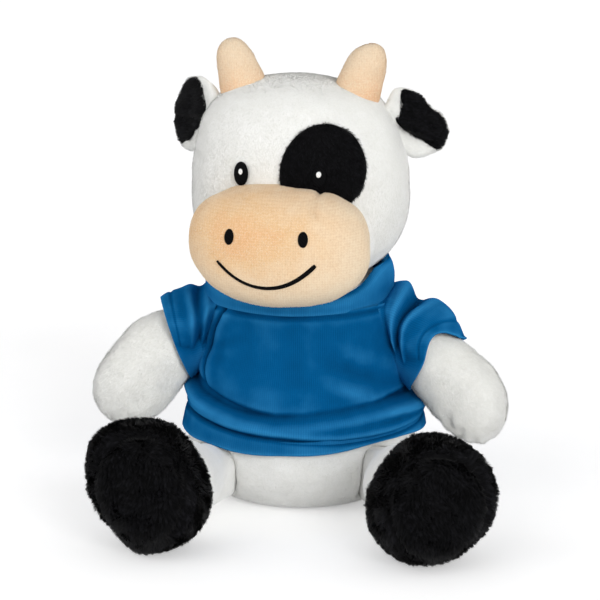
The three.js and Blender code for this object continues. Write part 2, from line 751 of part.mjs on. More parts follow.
// Shirt: a loose knitted tube with a slack roll over the hem
function shirtForm() {
  const bump = (height, centre, spread) => Math.exp(-(((height - centre) / spread) ** 2));
  const rings = shirtRowShares.map((share) => {
    const points = [];
    for (let i = 0; i < shirtSides; i += 1) {
      const angle = (i / shirtSides) * 2 * Math.PI;
      const c = Math.cos(angle);
      const s = Math.sin(angle);
      const hem = hemLevel + hemFrontLift * Math.max(0, -s) + hemSideLift * c;
      const z = hem + share * (shirtTop - hem);
      const height = z - hem;
      const front = 1 - foldBackShare * (1 + s);
      const ease = THREE.MathUtils.lerp(shirtEaseHem, shirtEaseChest, Math.min(1, 2 * share))
        + shirtFlare * THREE.MathUtils.smoothstep(share, shirtFlareShare, 1)
        + front * rollSwell * bump(height, rollHeight, rollSpread)
        - front * pinchDepth * bump(height, pinchHeight, pinchSpread);
      const body = torsoShareAt(z);
      points.push([torsoX + (body * torsoHalfWidth + ease) * c,
        torsoY + (body * torsoHalfDepth + ease) * s, z]);
    }
    return points;
  });
  return skin([torsoX, torsoY, hemLevel], rings, [torsoX, torsoY, shirtTop]);
}

function makeShirt() {
  return solid(shirtForm()).subtract(solid(grow(torso, clothGap)))
    .subtract(armRooms.left).subtract(armRooms.right)
    .subtract(legRooms.left).subtract(legRooms.right);
}

// Neckband: low under the muzzle and high at the sides and back, hugging the head's underside
function makeNeckband() {
  const columns = [];
  for (let i = 0; i < bandSides; i += 1) {
    const angle = (i / bandSides) * 2 * Math.PI;
    const side = THREE.MathUtils.smoothstep(Math.sin(angle), ...bandRiseShares);
    const top = bandBottom + bandFrontHeight + (bandSideHeight - bandFrontHeight) * side;
    columns.push(bandSectionShares.map(([up, out]) => {
      const z = bandBottom + up * (top - bandBottom);
      const lean = (z - bandBottom) / (bandSideTop - bandBottom);
      const plain = THREE.MathUtils.lerp(bandBottomRadius, bandTopRadius, lean);
      const body = torsoHalfWidth * torsoShareAt(z) + bandBodyGap;
      const inner = Math.max(plain - bandThickness, headRadiusAt(z) + bandHeadGap, body);
      const face = Math.max(plain, inner + bandBottomThickness);
      const radius = inner + out * (face - inner);
      return [radius * Math.cos(angle), headY + radius * Math.sin(angle), z];
    }));
  }
  const count = bandSectionShares.length;
  const faces = [];
  for (let i = 0; i < bandSides; i += 1) {
    for (let j = 0; j < count; j += 1) {
      const a = i * count + j;
      const b = i * count + ((j + 1) % count);
      const c = ((i + 1) % bandSides) * count + ((j + 1) % count);
      const d = ((i + 1) % bandSides) * count + j;
      faces.push(a, c, b, a, d, c);
    }
  }
  const geometry = new THREE.BufferGeometry();
  geometry.setAttribute('position', new THREE.Float32BufferAttribute(columns.flat(2), 3));
  geometry.setIndex(faces);
  return solid(geometry);
}

const group = new THREE.Group();

function add(parent, name, manifold, color, roughness = plushRoughness) {
  const material = new THREE.MeshStandardMaterial({ color, roughness, metalness: 0 });
  const mesh = new THREE.Mesh(geometryOf(manifold), material);
  mesh.name = name;
  parent.add(mesh);
}

add(group, 'torso', makeTorso(), white);
add(group, 'seat_panel', makeSeatPanel(), white);
add(group, 'pellet_bag', makePelletBag(), bagCloth);
add(group, 'tail', makeTail(), white);
add(group, 'tail_tuft', makeTuft(), black);
add(group, 'shirt_body', makeShirt(), blue);
add(group, 'neckband', makeNeckband(), blue);

// Everything on the head turns with it about the neck's upright axis
const face = new THREE.Group();
face.applyMatrix4(faceTurn);
group.add(face);
add(face, 'head', makeHead(), white);
add(face, 'muzzle', makeMuzzle(), tan);
add(face, 'eye_patch', makePatch(), black);
add(face, 'smile_stitch', makeSmile(), black, stitchRoughness);

for (const [side, word] of [[1, 'left'], [-1, 'right']]) {
  add(face, `horn_${word}`, makeHorn(side), tan);
  add(face, `ear_${word}`, makeEar(side), white);
  add(face, `ear_lining_${word}`, makeEarLining(side), black);
  add(face, `eye_${word}`, makeEye(side), black, stitchRoughness);
  add(face, `eye_glint_${word}`, makeGlint(side), white, stitchRoughness);
  add(face, `nostril_${word}`, makeNostril(side), black, stitchRoughness);
  add(group, `arm_${word}`, makeArm(side), white);
  add(group, `sleeve_${word}`, makeSleeve(side), blue);
  add(group, `leg_${word}`, makeLeg(side), white);
  add(group, `boot_${word}`, makeBoot(side), black);
  add(group, `sole_${word}`, makeSole(side), black);
}

export default group;
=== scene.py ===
import math

import bpy
import numpy as np
from mathutils import Matrix, Vector


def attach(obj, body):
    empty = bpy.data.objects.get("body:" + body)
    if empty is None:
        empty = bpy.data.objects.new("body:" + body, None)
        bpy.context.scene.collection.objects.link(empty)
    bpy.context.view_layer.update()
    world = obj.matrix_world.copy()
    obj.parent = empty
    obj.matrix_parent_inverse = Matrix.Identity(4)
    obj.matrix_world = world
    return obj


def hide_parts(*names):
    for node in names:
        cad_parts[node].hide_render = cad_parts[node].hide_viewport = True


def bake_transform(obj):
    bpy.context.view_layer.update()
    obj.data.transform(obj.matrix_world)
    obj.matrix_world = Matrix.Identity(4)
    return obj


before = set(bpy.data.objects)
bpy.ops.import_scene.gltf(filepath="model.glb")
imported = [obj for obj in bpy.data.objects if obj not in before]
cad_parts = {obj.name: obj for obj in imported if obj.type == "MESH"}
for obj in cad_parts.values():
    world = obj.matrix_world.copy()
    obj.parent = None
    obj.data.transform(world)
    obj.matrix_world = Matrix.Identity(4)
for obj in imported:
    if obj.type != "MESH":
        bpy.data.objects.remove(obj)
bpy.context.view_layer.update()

# A sitting stuffed cow in a knitted T-shirt. Shapes are worked out in millimetres and made in metres.
# +Z is up, the toy faces -Y, and its own left side is +X.
MM = 0.001

# The neck's axis seen from above, and how far the face is turned round it
HEAD_AXIS = np.array([0.0, -3.0])
HEAD_TURN = math.radians(-5)


# ---------------------------------------------------------------- small mathematics

def along_curve(table, count):
    """Rows of a given table, carried smoothly to `count` rows without overshooting."""
    keys = np.array(table, float)
    step = np.linalg.norm(np.diff(keys, axis=0), axis=1) + 1e-9
    at = np.concatenate([[0], np.cumsum(step)])
    wanted = np.linspace(0, at[-1], count)
    slope = np.diff(keys, axis=0) / step[:, None]
    tangent = np.zeros_like(keys)
    inner = slope[:-1] * slope[1:] > 0
    mean = 2 * slope[:-1] * slope[1:] / np.where(inner, slope[:-1] + slope[1:], 1)
    tangent[1:-1] = np.where(inner, mean, 0)
    tangent[0], tangent[-1] = slope[0], slope[-1]
    k = np.clip(np.searchsorted(at, wanted, "right") - 1, 0, len(step) - 1)
    h = step[k][:, None]
    t = ((wanted - at[k]) / step[k])[:, None]
    return ((2 * t**3 - 3 * t**2 + 1) * keys[k] + (t**3 - 2 * t**2 + t) * h * tangent[k]
            + (3 * t**2 - 2 * t**3) * keys[k + 1] + (t**3 - t**2) * h * tangent[k + 1])


def share_at(table, share, count=300, **ends):
    """The share of a form's radius at shares of its length, from the form's table."""
    curve = along_curve(table, count)
    return np.interp(share, curve[:, 0], curve[:, 1], **ends)


def swell(points, size, seed):
    """Smooth random waves about `size` millimetres across, from about -1 to 1."""
    rng = np.random.default_rng(seed)
    waves = rng.normal(size=(20, 3))
    waves *= (2 * math.pi / size) * rng.uniform(0.6, 1.3, (20, 1)) / np.linalg.norm(waves, axis=1)[:, None]
    return np.sin(points @ waves.T + rng.uniform(0, 2 * math.pi, 20)).sum(1) / 6


def hump(distance, width):
    return np.exp(-((distance / width) ** 2))


def step_up(value, low, high):
    t = np.clip((value - low) / (high - low), 0, 1)
    return t * t * (3 - 2 * t)


def unit(v):
    v = np.asarray(v, float)
    return v / np.linalg.norm(v, axis=-1, keepdims=True)


def frame_along(direction):
    """Axes whose third runs along a direction and whose second is as upright as it can be."""
    z = unit(direction)
    y = unit(np.array([0, 0, 1.0]) - z * z[2])
    return np.array([np.cross(y, z), y, z])


def turned_face(points, turn=HEAD_TURN):
    """The face is sewn looking straight ahead, and the head sits turned a little on the neck."""
    c, s = math.cos(turn), math.sin(turn)
    out = np.array(points, float)
    p = out[:, :2] - HEAD_AXIS
    out[:, 0] = HEAD_AXIS[0] + p[:, 0] * c - p[:, 1] * s
    out[:, 1] = HEAD_AXIS[1] + p[:, 0] * s + p[:, 1] * c
    return out


def turned_back(points):
    return turned_face(points, -HEAD_TURN)


def all_round(count, start=0.0):
    """Angles at equal steps, once round."""
    return np.arange(count) / count * 2 * math.pi + start


def places(*coordinates):
    """Points from their coordinates, each given one by one or once for all of them."""
    return np.stack(np.broadcast_arrays(*coordinates), 1)


def within(q, x, z, half_width, half_height, power=2.0, edge=1.0):
    """Whether places of the face lie in an oval, which a higher power makes squarer."""
    return np.abs((q[:, 0] - x) / half_width) ** power + np.abs((q[:, 2] - z) / half_height) ** power < edge


# ---------------------------------------------------------------- meshes

def grid_faces(rows, sides, poles=False):
    """Quads over closed rows of points; with poles, the first and last points close the two ends."""
    first = 1 if poles else 0
    i = np.arange(sides)
    faces = []
    for row in range(rows - 1):
        a = first + row * sides + i
        b = first + row * sides + (i + 1) % sides
        faces += np.stack([a, b, b + sides, a + sides], 1).tolist()
    if poles:
        last, top = rows * sides + 1, 1 + (rows - 1) * sides
        faces += [[0, 1 + (j + 1) % sides, 1 + j] for j in range(sides)]
        faces += [[last, top + j, top + (j + 1) % sides] for j in range(sides)]
    return faces


def normals_of(points, faces):
    p = np.asarray(points, float)
    out = np.zeros_like(p)
    tris = np.array([(f[0], f[k], f[k + 1]) for f in faces for k in range(1, len(f) - 1)])
    n = np.cross(p[tris[:, 1]] - p[tris[:, 0]], p[tris[:, 2]] - p[tris[:, 0]])
    for k in range(3):
        np.add.at(out, tris[:, k], n)
    return out / (np.linalg.norm(out, axis=1, keepdims=True) + 1e-12), tris, n


def placed(name, data):
    """A new object, put into the scene."""
    obj = bpy.data.objects.new(name, data)
    bpy.context.scene.collection.objects.link(obj)
    return obj


def piece(name, points, faces, material, body, node, fill=None, flat_uv=None):
    """A named mesh in metres that rides on a body, stands for its solid and has its finish. How full a
    stuffed one is, its fill, is not used."""
    mesh = bpy.data.meshes.new(name)
    mesh.from_pydata((np.asarray(points) * MM).tolist(), [], faces)
    mesh.update()
    mesh.shade_smooth()
    if flat_uv is not None:
        layer = mesh.uv_layers.new(name="cloth")
        layer.data.foreach_set("uv", np.asarray(flat_uv, np.float32).ravel())
    mesh.materials.append(material)
    obj = placed(name, mesh)
    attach(obj, body)
    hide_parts(node)
    return obj


def lofted(table, length, half_width, half_depth, sides, rows, squareness=2.0, bow=0.0, sink=0.0):
    """A form that swells and tapers along +Z, from a table of shares of its length and radius. Its middle
    line can bow, or sink evenly, along Y."""
    curve = along_curve(table, rows + 2)
    angle = all_round(sides)
    c, s = [np.sign(v) * np.abs(v) ** (2 / squareness) for v in (np.cos(angle), np.sin(angle))]

    def middle(share):
        return [0, sink * share + bow * max(0, share * (1 - share)), share * length]

    points = [middle(curve[0, 0])]
    for share, across in curve[1:-1]:
        x, y, z = middle(share)
        points += places(x + across * half_width * c, y + across * half_depth * s, z).tolist()
    points.append(middle(curve[-1, 0]))
    return np.array(points), grid_faces(rows, sides, poles=True)


def relaxed(points, faces, times, keep=None):
    """Evens a skin out as stuffing does: each point moves towards the middle of its neighbours."""
    edges = np.array([e for f in faces for e in zip(f, f[1:] + f[:1])])
    p = np.array(points, float)
    count = np.bincount(edges.ravel(), minlength=len(p))[:, None]
    for _ in range(times):
        total = np.zeros_like(p)
        np.add.at(total, edges[:, 0], p[edges[:, 1]])
        np.add.at(total, edges[:, 1], p[edges[:, 0]])
        moved = p + 0.5 * (total / np.maximum(count, 1) - p)
        p = moved if keep is None else np.where(keep[:, None], p, moved)
    return p


def drawn_in(points, middle, table):
    """Pulls a form in or out round its middle, across its length, by shares at every 15 degrees."""
    angle = np.arctan2(points[:, 1] - middle[1], points[:, 0] - middle[0])
    share = smooth_round(table, np.degrees(angle))
    out = np.array(points, float)
    out[:, 0] = middle[0] + (points[:, 0] - middle[0]) * share
    out[:, 1] = middle[1] + (points[:, 1] - middle[1]) * share
    return out


def blurred(ring, width, reach):
    """Values that go once round, each evened out with its neighbours as far as it reaches."""
    kernel = hump(np.arange(-reach, reach + 1), width)
    return np.convolve(np.tile(ring, 3), kernel / kernel.sum(), "same")[len(ring):2 * len(ring)]


def smooth_round(table, degrees):
    """A value that goes once round, given at equal steps from -180 degrees."""
    fine = np.interp(np.arange(-180, 180), np.linspace(-180, 180, len(table) + 1), table + table[:1])
    ring = blurred(fine, 9.0, 20)
    return np.interp(degrees, np.arange(-180, 181), np.append(ring, ring[0]))


def pushed(points, faces, amount):
    normal, _, _ = normals_of(points, faces)
    return points + normal * np.asarray(amount)[:, None]


# ---------------------------------------------------------------- materials

def linear(code):
    """sRGB hex to linear colour."""
    values = [int(code[i:i + 2], 16) / 255 for i in (1, 3, 5)]
    return tuple(v / 12.92 if v <= 0.04045 else ((v + 0.055) / 1.055) ** 2.4 for v in values) + (1.0,)


def knot(tree, kind, settings=None, **inputs):
    """Adds a node with its settings, and its inputs as values or as links from other nodes' outputs.
    An input is named by its words with underscores, or i0, i1 and so on by its place. A ramp's setting is its
    stops: sRGB colours placed at shares of its factor."""
    node = tree.nodes.new(kind)
    for key, value in (settings or {}).items():
        if key != "stops":
            setattr(node, key, value)
            continue
        elements = node.color_ramp.elements
        while len(elements) < len(value):
            elements.new(0.5)
        for element, (at, code) in zip(elements, value):
            element.position = at
            element.color = linear(code)
    for key, value in inputs.items():
        socket = node.inputs[int(key[1:])] if key[0] == "i" and key[1:].isdigit() \
            else node.inputs[key.replace("_", " ")]
        if isinstance(value, bpy.types.NodeSocket):
            tree.links.new(value, socket)
        else:
            socket.default_value = value
    return node


def new_material(name):
    material = bpy.data.materials.new(name)
    material.use_nodes = True
    tree = material.node_tree
    tree.nodes.clear()
    return material, tree


def ribs(tree, along, pitch):
    """A sine wave of a pitch along a coordinate, from -1 to 1."""
    turns = knot(tree, "ShaderNodeMath", {"operation": "MULTIPLY"}, i0=along, i1=2 * math.pi / pitch)
    return knot(tree, "ShaderNodeMath", {"operation": "SINE"}, i0=turns.outputs[0]).outputs[0]


# Settings of the nodes that shade one colour by another, and that scale a value and shift it
MULTIPLY = {"data_type": "RGBA", "blend_type": "MULTIPLY"}
SCALE_SHIFT = {"operation": "MULTIPLY_ADD"}


def finished(material, tree, colour, height=None, strength=0.0, relief_mm=0.0, **surface):
    """Ends a material: its colour and its surface's values on one shader, with a fine relief."""
    if height is not None:
        bump = knot(tree, "ShaderNodeBump", Height=height, Strength=strength, Distance=relief_mm * MM)
        surface["Normal"] = bump.outputs["Normal"]
    shader = knot(tree, "ShaderNodeBsdfPrincipled", Base_Color=colour, **surface)
    knot(tree, "ShaderNodeOutputMaterial", Surface=shader.outputs[0])
    return material


def plush_skin(name, low, high, pile_mm, lumps, sheen):
    """Knitted-back polyester plush: tufts of pile that part and shade each other."""
    material, tree = new_material(name)
    place = knot(tree, "ShaderNodeTexCoord").outputs["Object"]
    # The colour drifts in patches 6 mm wide, and each tuft of pile is painted darker where it parts from the
    # next, as the shade between tufts
    patches = knot(tree, "ShaderNodeTexNoise", Vector=place, Scale=1 / (6 * MM), Detail=3.0, Roughness=0.55)
    tufts = knot(tree, "ShaderNodeTexNoise", Vector=place, Scale=1 / (pile_mm * MM), Detail=5.0,
                 Roughness=0.7).outputs["Fac"]
    colour = knot(tree, "ShaderNodeValToRGB", {"stops": (low, high)}, Fac=patches.outputs["Fac"])
    shade = knot(tree, "ShaderNodeValToRGB", {"stops": ((0.3, "#c8c8c8"), (0.62, "#ffffff"))}, Fac=tufts)
    tuft_shaded = knot(tree, "ShaderNodeMix", MULTIPLY, Factor=lumps, A=colour.outputs[0], B=shade.outputs[0])
    return finished(material, tree, tuft_shaded.outputs["Result"], tufts, 0.55, 0.5, Roughness=0.95,
                    Sheen_Weight=sheen, Sheen_Roughness=0.5, Specular_IOR_Level=0.15)


def pile_fibre(name, root, tip, roughness, specular, sheen):
    """Fibres of the pile, painted darker at the root as the shade deep in the pile and paler at the tip as
    the light on it.
    """
    material, tree = new_material(name)
    shade = knot(tree, "ShaderNodeAttribute", {"attribute_name": "fibre"})
    colour = knot(tree, "ShaderNodeValToRGB", {"stops": ((0.0, root), (1.0, tip))}, Fac=shade.outputs["Fac"])
    return finished(material, tree, colour.outputs[0], Roughness=roughness, Sheen_Weight=sheen,
                    Sheen_Roughness=0.5, Specular_IOR_Level=specular)


# Short-pile polyester plush, knitted and sheared: soft white with faint painted shade where the pile parts
white_plush = plush_skin("short_pile_plush_white", (0.35, "#f1f1ed"), (0.65, "#f6f6f3"), 1.1, 0.15, 0.8)
white_fibre = pile_fibre("short_pile_fibre_white", "#eaeae5", "#fcfcf9", 0.9, 0.1, 0.9)

# Longer unsheared plush for feet, patch and ears: near black, and faintly glossy along its tufts, whose tips
# are painted paler as highlights
black_plush = plush_skin("long_pile_plush_black", (0.3, "#050506"), (0.7, "#09090b"), 1.4, 0.6, 0.0)
black_fibre = pile_fibre("long_pile_fibre_black", "#010102", "#202024", 0.6, 0.06, 0.05)


def velour_material(name, heart, reach, *stops):
    """Brushed velour, very short pile: its colour pales away from a peach heart, and the knit of its
    backing shows as fine dots in rows."""
    material, tree = new_material(name)
    place = knot(tree, "ShaderNodeTexCoord").outputs["Object"]
    away = knot(tree, "ShaderNodeMapping", Vector=place,
                Location=[-h / r for h, r in zip(heart, reach)], Scale=[1 / (r * MM) for r in reach])
    away = knot(tree, "ShaderNodeVectorMath", {"operation": "LENGTH"}, i0=away.outputs[0])
    blotch = knot(tree, "ShaderNodeTexNoise", Vector=place, Scale=1 / (9 * MM), Detail=4.0, Roughness=0.6)
    blotch = knot(tree, "ShaderNodeMath", SCALE_SHIFT, i0=blotch.outputs["Fac"], i1=1.1,
                  i2=away.outputs["Value"])
    share = knot(tree, "ShaderNodeMath", SCALE_SHIFT, i0=blotch.outputs[0], i1=0.5, i2=-0.28)
    # Loops of the backing lie 1.1 mm apart both ways
    split = knot(tree, "ShaderNodeSeparateXYZ", Vector=place)
    dots = knot(tree, "ShaderNodeMath", {"operation": "ADD"}, i0=ribs(tree, split.outputs["X"], 1.1 * MM),
                i1=ribs(tree, split.outputs["Z"], 1.1 * MM))
    loops = knot(tree, "ShaderNodeTexNoise", Vector=place, Scale=1 / (1.3 * MM), Detail=4.0, Roughness=0.7)
    loops = knot(tree, "ShaderNodeMath", SCALE_SHIFT, i0=dots.outputs[0], i1=0.06,
                 i2=loops.outputs["Fac"]).outputs[0]
    colour = knot(tree, "ShaderNodeValToRGB", {"stops": stops}, Fac=share.outputs[0])
    shade = knot(tree, "ShaderNodeValToRGB", {"stops": ((0.25, "#e0cfbb"), (0.7, "#ffffff"))}, Fac=loops)
    mixed = knot(tree, "ShaderNodeMix", MULTIPLY, Factor=0.5, A=colour.outputs[0], B=shade.outputs[0])
    return finished(material, tree, mixed.outputs["Result"], loops, 0.4, 0.3, Roughness=0.9,
                    Sheen_Weight=0.2, Sheen_Roughness=0.45, Sheen_Tint=linear("#fff3e4"),
                    Specular_IOR_Level=0.12)


def blue_knit_material():
    """Fine single-jersey knit, dyed: wales run up the cloth and catch the light as thin ribs."""
    material, tree = new_material("single_jersey_knit_blue")
    cloth = knot(tree, "ShaderNodeUVMap", {"uv_map": "cloth"})
    split = knot(tree, "ShaderNodeSeparateXYZ", Vector=cloth.outputs["UV"])
    # The cloth's coordinates are millimetres; a wale is 0.95 mm wide and a course 0.8 mm high
    loops = knot(tree, "ShaderNodeMath", SCALE_SHIFT, i0=ribs(tree, split.outputs["Y"], 0.8), i1=0.3,
                 i2=ribs(tree, split.outputs["X"], 0.95))
    height = knot(tree, "ShaderNodeMapRange", Value=loops.outputs[0], From_Min=-1.3,
                  From_Max=1.3).outputs["Result"]
    # Painted light: where the cloth is drawn into a fold it is painted darker as shade, and on a ridge it is
    # painted paler as a highlight. The dye is uneven in patches 8 mm wide
    relief = knot(tree, "ShaderNodeAttribute", {"attribute_name": "relief"})
    patches = knot(tree, "ShaderNodeTexNoise", Vector=knot(tree, "ShaderNodeTexCoord").outputs["Object"],
                   Scale=1 / (8 * MM), Detail=4.0, Roughness=0.6)
    relief = knot(tree, "ShaderNodeMath", SCALE_SHIFT, i0=patches.outputs["Fac"], i1=0.2,
                  i2=relief.outputs["Fac"])
    # The colour runs from painted shade in the folds, through the dye, to a painted highlight on the ridges
    colour = knot(tree, "ShaderNodeValToRGB", {"stops": (
        (0.15, "#023055"), (0.45, "#044c7d"), (0.65, "#06588e"), (1.0, "#2a80b8"))}, Fac=relief.outputs[0])
    shade = knot(tree, "ShaderNodeValToRGB", {"stops": ((0.0, "#cfd8e0"), (0.8, "#ffffff"))}, Fac=height)
    mixed = knot(tree, "ShaderNodeMix", MULTIPLY, Factor=0.55, A=colour.outputs[0], B=shade.outputs[0])
    return finished(material, tree, mixed.outputs["Result"], height, 0.35, 0.25, Roughness=0.7,
                    Sheen_Weight=0.35, Sheen_Roughness=0.35, Sheen_Tint=linear("#1c86d8"),
                    Specular_IOR_Level=0.0)


def satin_stitch_material(name, low, high):
    """Satin stitch: trilobal polyester threads laid side by side, 0.4 mm apart, with a soft gloss."""
    material, tree = new_material(name)
    place = knot(tree, "ShaderNodeTexCoord").outputs["Object"]
    thread = knot(tree, "ShaderNodeTexWave", {"wave_type": "BANDS", "bands_direction": "DIAGONAL"},
                  Vector=place, Scale=1 / (2.5 * MM), Distortion=1.5).outputs["Fac"]
    colour = knot(tree, "ShaderNodeValToRGB", {"stops": ((0.2, low), (0.8, high))}, Fac=thread)
    return finished(material, tree, colour.outputs[0], thread, 0.4, 0.15, Roughness=0.7,
                    Specular_IOR_Level=0.05)


def plain_woven_material(name, low, high):
    """Plain-woven lining cloth, warp and weft 0.6 mm apart."""
    material, tree = new_material(name)
    place = knot(tree, "ShaderNodeTexCoord").outputs["Object"]
    warp, weft = [knot(tree, "ShaderNodeTexWave", {"bands_direction": way}, Vector=place,
                       Scale=1 / (3.8 * MM)).outputs["Fac"] for way in ("X", "Y")]
    weave = knot(tree, "ShaderNodeMath", {"operation": "MULTIPLY"}, i0=warp, i1=weft).outputs[0]
    colour = knot(tree, "ShaderNodeValToRGB", {"stops": ((0.0, low), (1.0, high))}, Fac=weave)
    return finished(material, tree, colour.outputs[0], weave, 0.4, 0.2, Roughness=0.9)


# Brushed velour of the muzzle, peach round its right nostril, the peach partly its own tint and partly
# painted shade on that side, away from the lamp; and of the horns, peach at their roots
muzzle_velour = velour_material("brushed_velour_muzzle", (-16, -70, 131), (30, 60, 17), (0.1, "#eabd8e"),
                                (0.32, "#ebc89c"), (0.6, "#efd6b5"), (0.95, "#f2e1c6"))
horn_velour = velour_material("brushed_velour_horn", (0, 0, 176), (900, 900, 15), (0.05, "#efc69e"),
                              (0.3, "#eecfac"), (0.6, "#ebd4b6"), (0.9, "#eddbc0"))
tan_fibre = pile_fibre("velour_fibre_tan", "#f3dcbc", "#f9ecd8", 0.9, 0.05, 0.1)
# Single-jersey knit of the shirt, satin stitch of the face, and the woven cloths under the toy
blue_knit = blue_knit_material()
black_thread = satin_stitch_material("satin_stitch_black", "#020203", "#09090b")
white_thread = satin_stitch_material("satin_stitch_white", "#e6e6e4", "#fbfbfa")
seat_cloth = plain_woven_material("plain_woven_seat_cloth", "#cfcfca", "#efefea")
bag_cloth = plain_woven_material("plain_woven_bag_cloth", "#bdb8a6", "#ddd9c9")


# ---------------------------------------------------------------- pile

# How unruly the fibres are: their stray off the flow as a share of its drift, their stray in degrees of tilt,
# how far each is lit its own way, and the shares of their width and of their length that they vary between
STRAY, TILT_DEG, LIT_OWN = 0.6, 9, 0.14
WIDTHS, LENGTHS = (0.7, 1.2), (0.65, 1.15)


def pile(name, skin, count, length, width, nap, lean, fibre, body, where, seed, spread=0.3, tuft=3.0,
         contrast=0.25, gather=0.3, tone=1.0, shades=False):
    """Fibres that stand on a skin and lean along the nap, each a thin blade lit as the skin is."""
    points, faces = skin
    rng = np.random.default_rng(seed)
    count = count
    normal, tris, facing = normals_of(points, faces)
    area = np.linalg.norm(facing, axis=1)
    pick = rng.choice(len(tris), count, p=area / area.sum())
    a, b = rng.random(count), rng.random(count)
    a, b = np.where(a + b > 1, 1 - a, a), np.where(a + b > 1, 1 - b, b)
    weights = np.stack([1 - a - b, a, b], 1)[..., None]
    root = (points[tris[pick]] * weights).sum(1)
    up = unit((normal[tris[pick]] * weights).sum(1))
    kept = where(root, up)
    root, up = root[kept], up[kept]
    n = len(root)

    def waves(size, first):
        return np.stack([swell(root, size, seed + first + k) for k in range(3)], 1)

    # Tufts: neighbours lean the same way, and the way drifts over the skin
    flow = (nap(root) if callable(nap) else np.array(nap, float)) + waves(tuft * 3, 11) * spread
    flow = flow + rng.normal(size=(n, 3)) * spread * STRAY
    flow = unit(flow - up * (flow * up).sum(1, keepdims=True))
    tilt = np.radians(lean + rng.normal(size=n) * TILT_DEG)[:, None]
    way = up * np.cos(tilt) + flow * np.sin(tilt)
    across = unit(np.cross(way, up)) * (width * rng.uniform(*WIDTHS, n) / 2)[:, None]
    reach = (length * rng.uniform(*LENGTHS, n) * (1 + 0.25 * swell(root, tuft, seed + 5)))[:, None]
    tip = root + way * reach
    # Neighbouring fibres gather: the tips of a tuft draw together
    cell = np.floor(root / (0.55 * tuft) + 0.7 * waves(tuft * 1.5, 21))
    tuft_of = np.unique(cell, axis=0, return_inverse=True)[1].ravel()
    size = np.bincount(tuft_of)
    meeting = np.stack([np.bincount(tuft_of, tip[:, k]) / size for k in range(3)], 1)
    tip = tip + gather * (meeting[tuft_of] - tip)
    tip[:, 2] = np.maximum(tip[:, 2], 0.1)
    corner = np.stack([root - across, root + across, tip], 1).reshape(-1, 3)
    mesh = bpy.data.meshes.new(name)
    mesh.from_pydata((corner * MM).tolist(), [], np.arange(3 * n).reshape(-1, 3).tolist())
    mesh.update()
    # Each blade is painted dark at its two root corners as the pile's shade and paler at its tip as light on
    # it, tuft by tuft and fibre by fibre
    by_tuft = rng.uniform(-1, 1, len(size))[tuft_of]
    shade = np.clip(np.array([0, 0, tone]) * (1 - contrast + contrast * by_tuft)[:, None]
                    + rng.uniform(0, 0.25 * tone, n)[:, None], 0, 1)
    mesh.attributes.new("fibre", "FLOAT", "POINT").data.foreach_set(
        "value", shade.ravel().astype(np.float32))
    lit = unit(up + flow * 0.25 + rng.normal(size=(n, 3)) * LIT_OWN)
    mesh.shade_smooth()
    mesh.normals_split_custom_set_from_vertices(np.repeat(lit, 3, axis=0).tolist())
    mesh.materials.append(fibre)
    obj = placed(name, mesh)
    # Fibres of a thin or pale pile let the light through: they throw no shadow on their neighbours
    obj.visible_shadow = shades
    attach(obj, body)


# ---------------------------------------------------------------- torso

TORSO_MIDDLE = np.array([1.0, -3.0])
TORSO_HALF = np.array([51.0, 49.0])
TORSO_HEIGHT = 104.0
TORSO_SHARES = [[0, 0.7], [0.04, 0.86], [0.12, 0.965], [0.27, 1.01], [0.42, 0.955], [0.53, 0.875],
                [0.66, 0.81], [0.93, 0.77], [1, 0.7]]


def torso_share(z):
    return share_at(TORSO_SHARES, np.asarray(z) / TORSO_HEIGHT, 200)


def remeshed(node, voxel, times):
    """The solid's own shape, evened out to a soft skin."""
    copy = placed("soft_" + node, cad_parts[node].data.copy())
    remesh = copy.modifiers.new("remesh", "REMESH")
    remesh.mode = "VOXEL"
    remesh.voxel_size = voxel * MM
    mesh = bpy.data.meshes.new_from_object(copy.evaluated_get(bpy.context.evaluated_depsgraph_get()))
    points = np.array([v.co for v in mesh.vertices]) / MM
    faces = [list(f.vertices) for f in mesh.polygons]
    bpy.data.objects.remove(copy)
    bpy.data.meshes.remove(mesh)
    return relaxed(points, faces, times), faces


# The torso's skin from the pellet bag's pocket out under the seat panel, up its side and into the neck's cup:
# height, half width, half depth, and the middle of each ring
TORSO_ROWS = [[22.9, 0, 0, 0, 5], [22.9, 18, 18, 0, 5], [22.4, 20.4, 20.4, 0, 5], [12, 20.5, 20.5, 0, 5],
              [2.8, 20.5, 20.5, 0, 5], [2.4, 21.5, 21.5, 0, 4], [2.4, 33, 33, 0, 0], [1.8, 33.5, 33.5, 0, 0],
              [0.4, 33.6, 33.6, 0, 0], [0, 34.4, 34.4, 0, -0.2], [0.5, 36.6, 36.2, 0.6, -1.2],
              [1.8, 39.6, 38.6, 1, -2], [5.4, 44.4, 42.2, 1, -2.6], [13.5, 49.4, 47.2, 1, -3],
              [28, 51.5, 49.5, 1, -3], [43.7, 48.7, 46.8, 1, -3], [55.1, 44.6, 42.9, 1, -3],
              [68.6, 41.3, 39.7, 1, -3], [90, 39.4, 38, 1, -3], [96.7, 38, 36.6, 1, -3],
              [98.6, 35.5, 34.4, 1, -3], [98.2, 30.5, 30, 0.6, -3], [96.2, 24.6, 24.2, 0, -3],
              [93.4, 12, 12, 0, -3], [92.6, 0, 0, 0, -3]]


def pressed_in(points, faces, inside):
    """Where another stuffed piece is sewn on or leans, the skin gives way until it is clear of it."""
    normal, _, _ = normals_of(points, faces)
    p = points.copy()
    for _ in range(60):
        held = inside(p)
        if not held.any():
            break
        p[held] -= normal[held] * 0.5
    return p


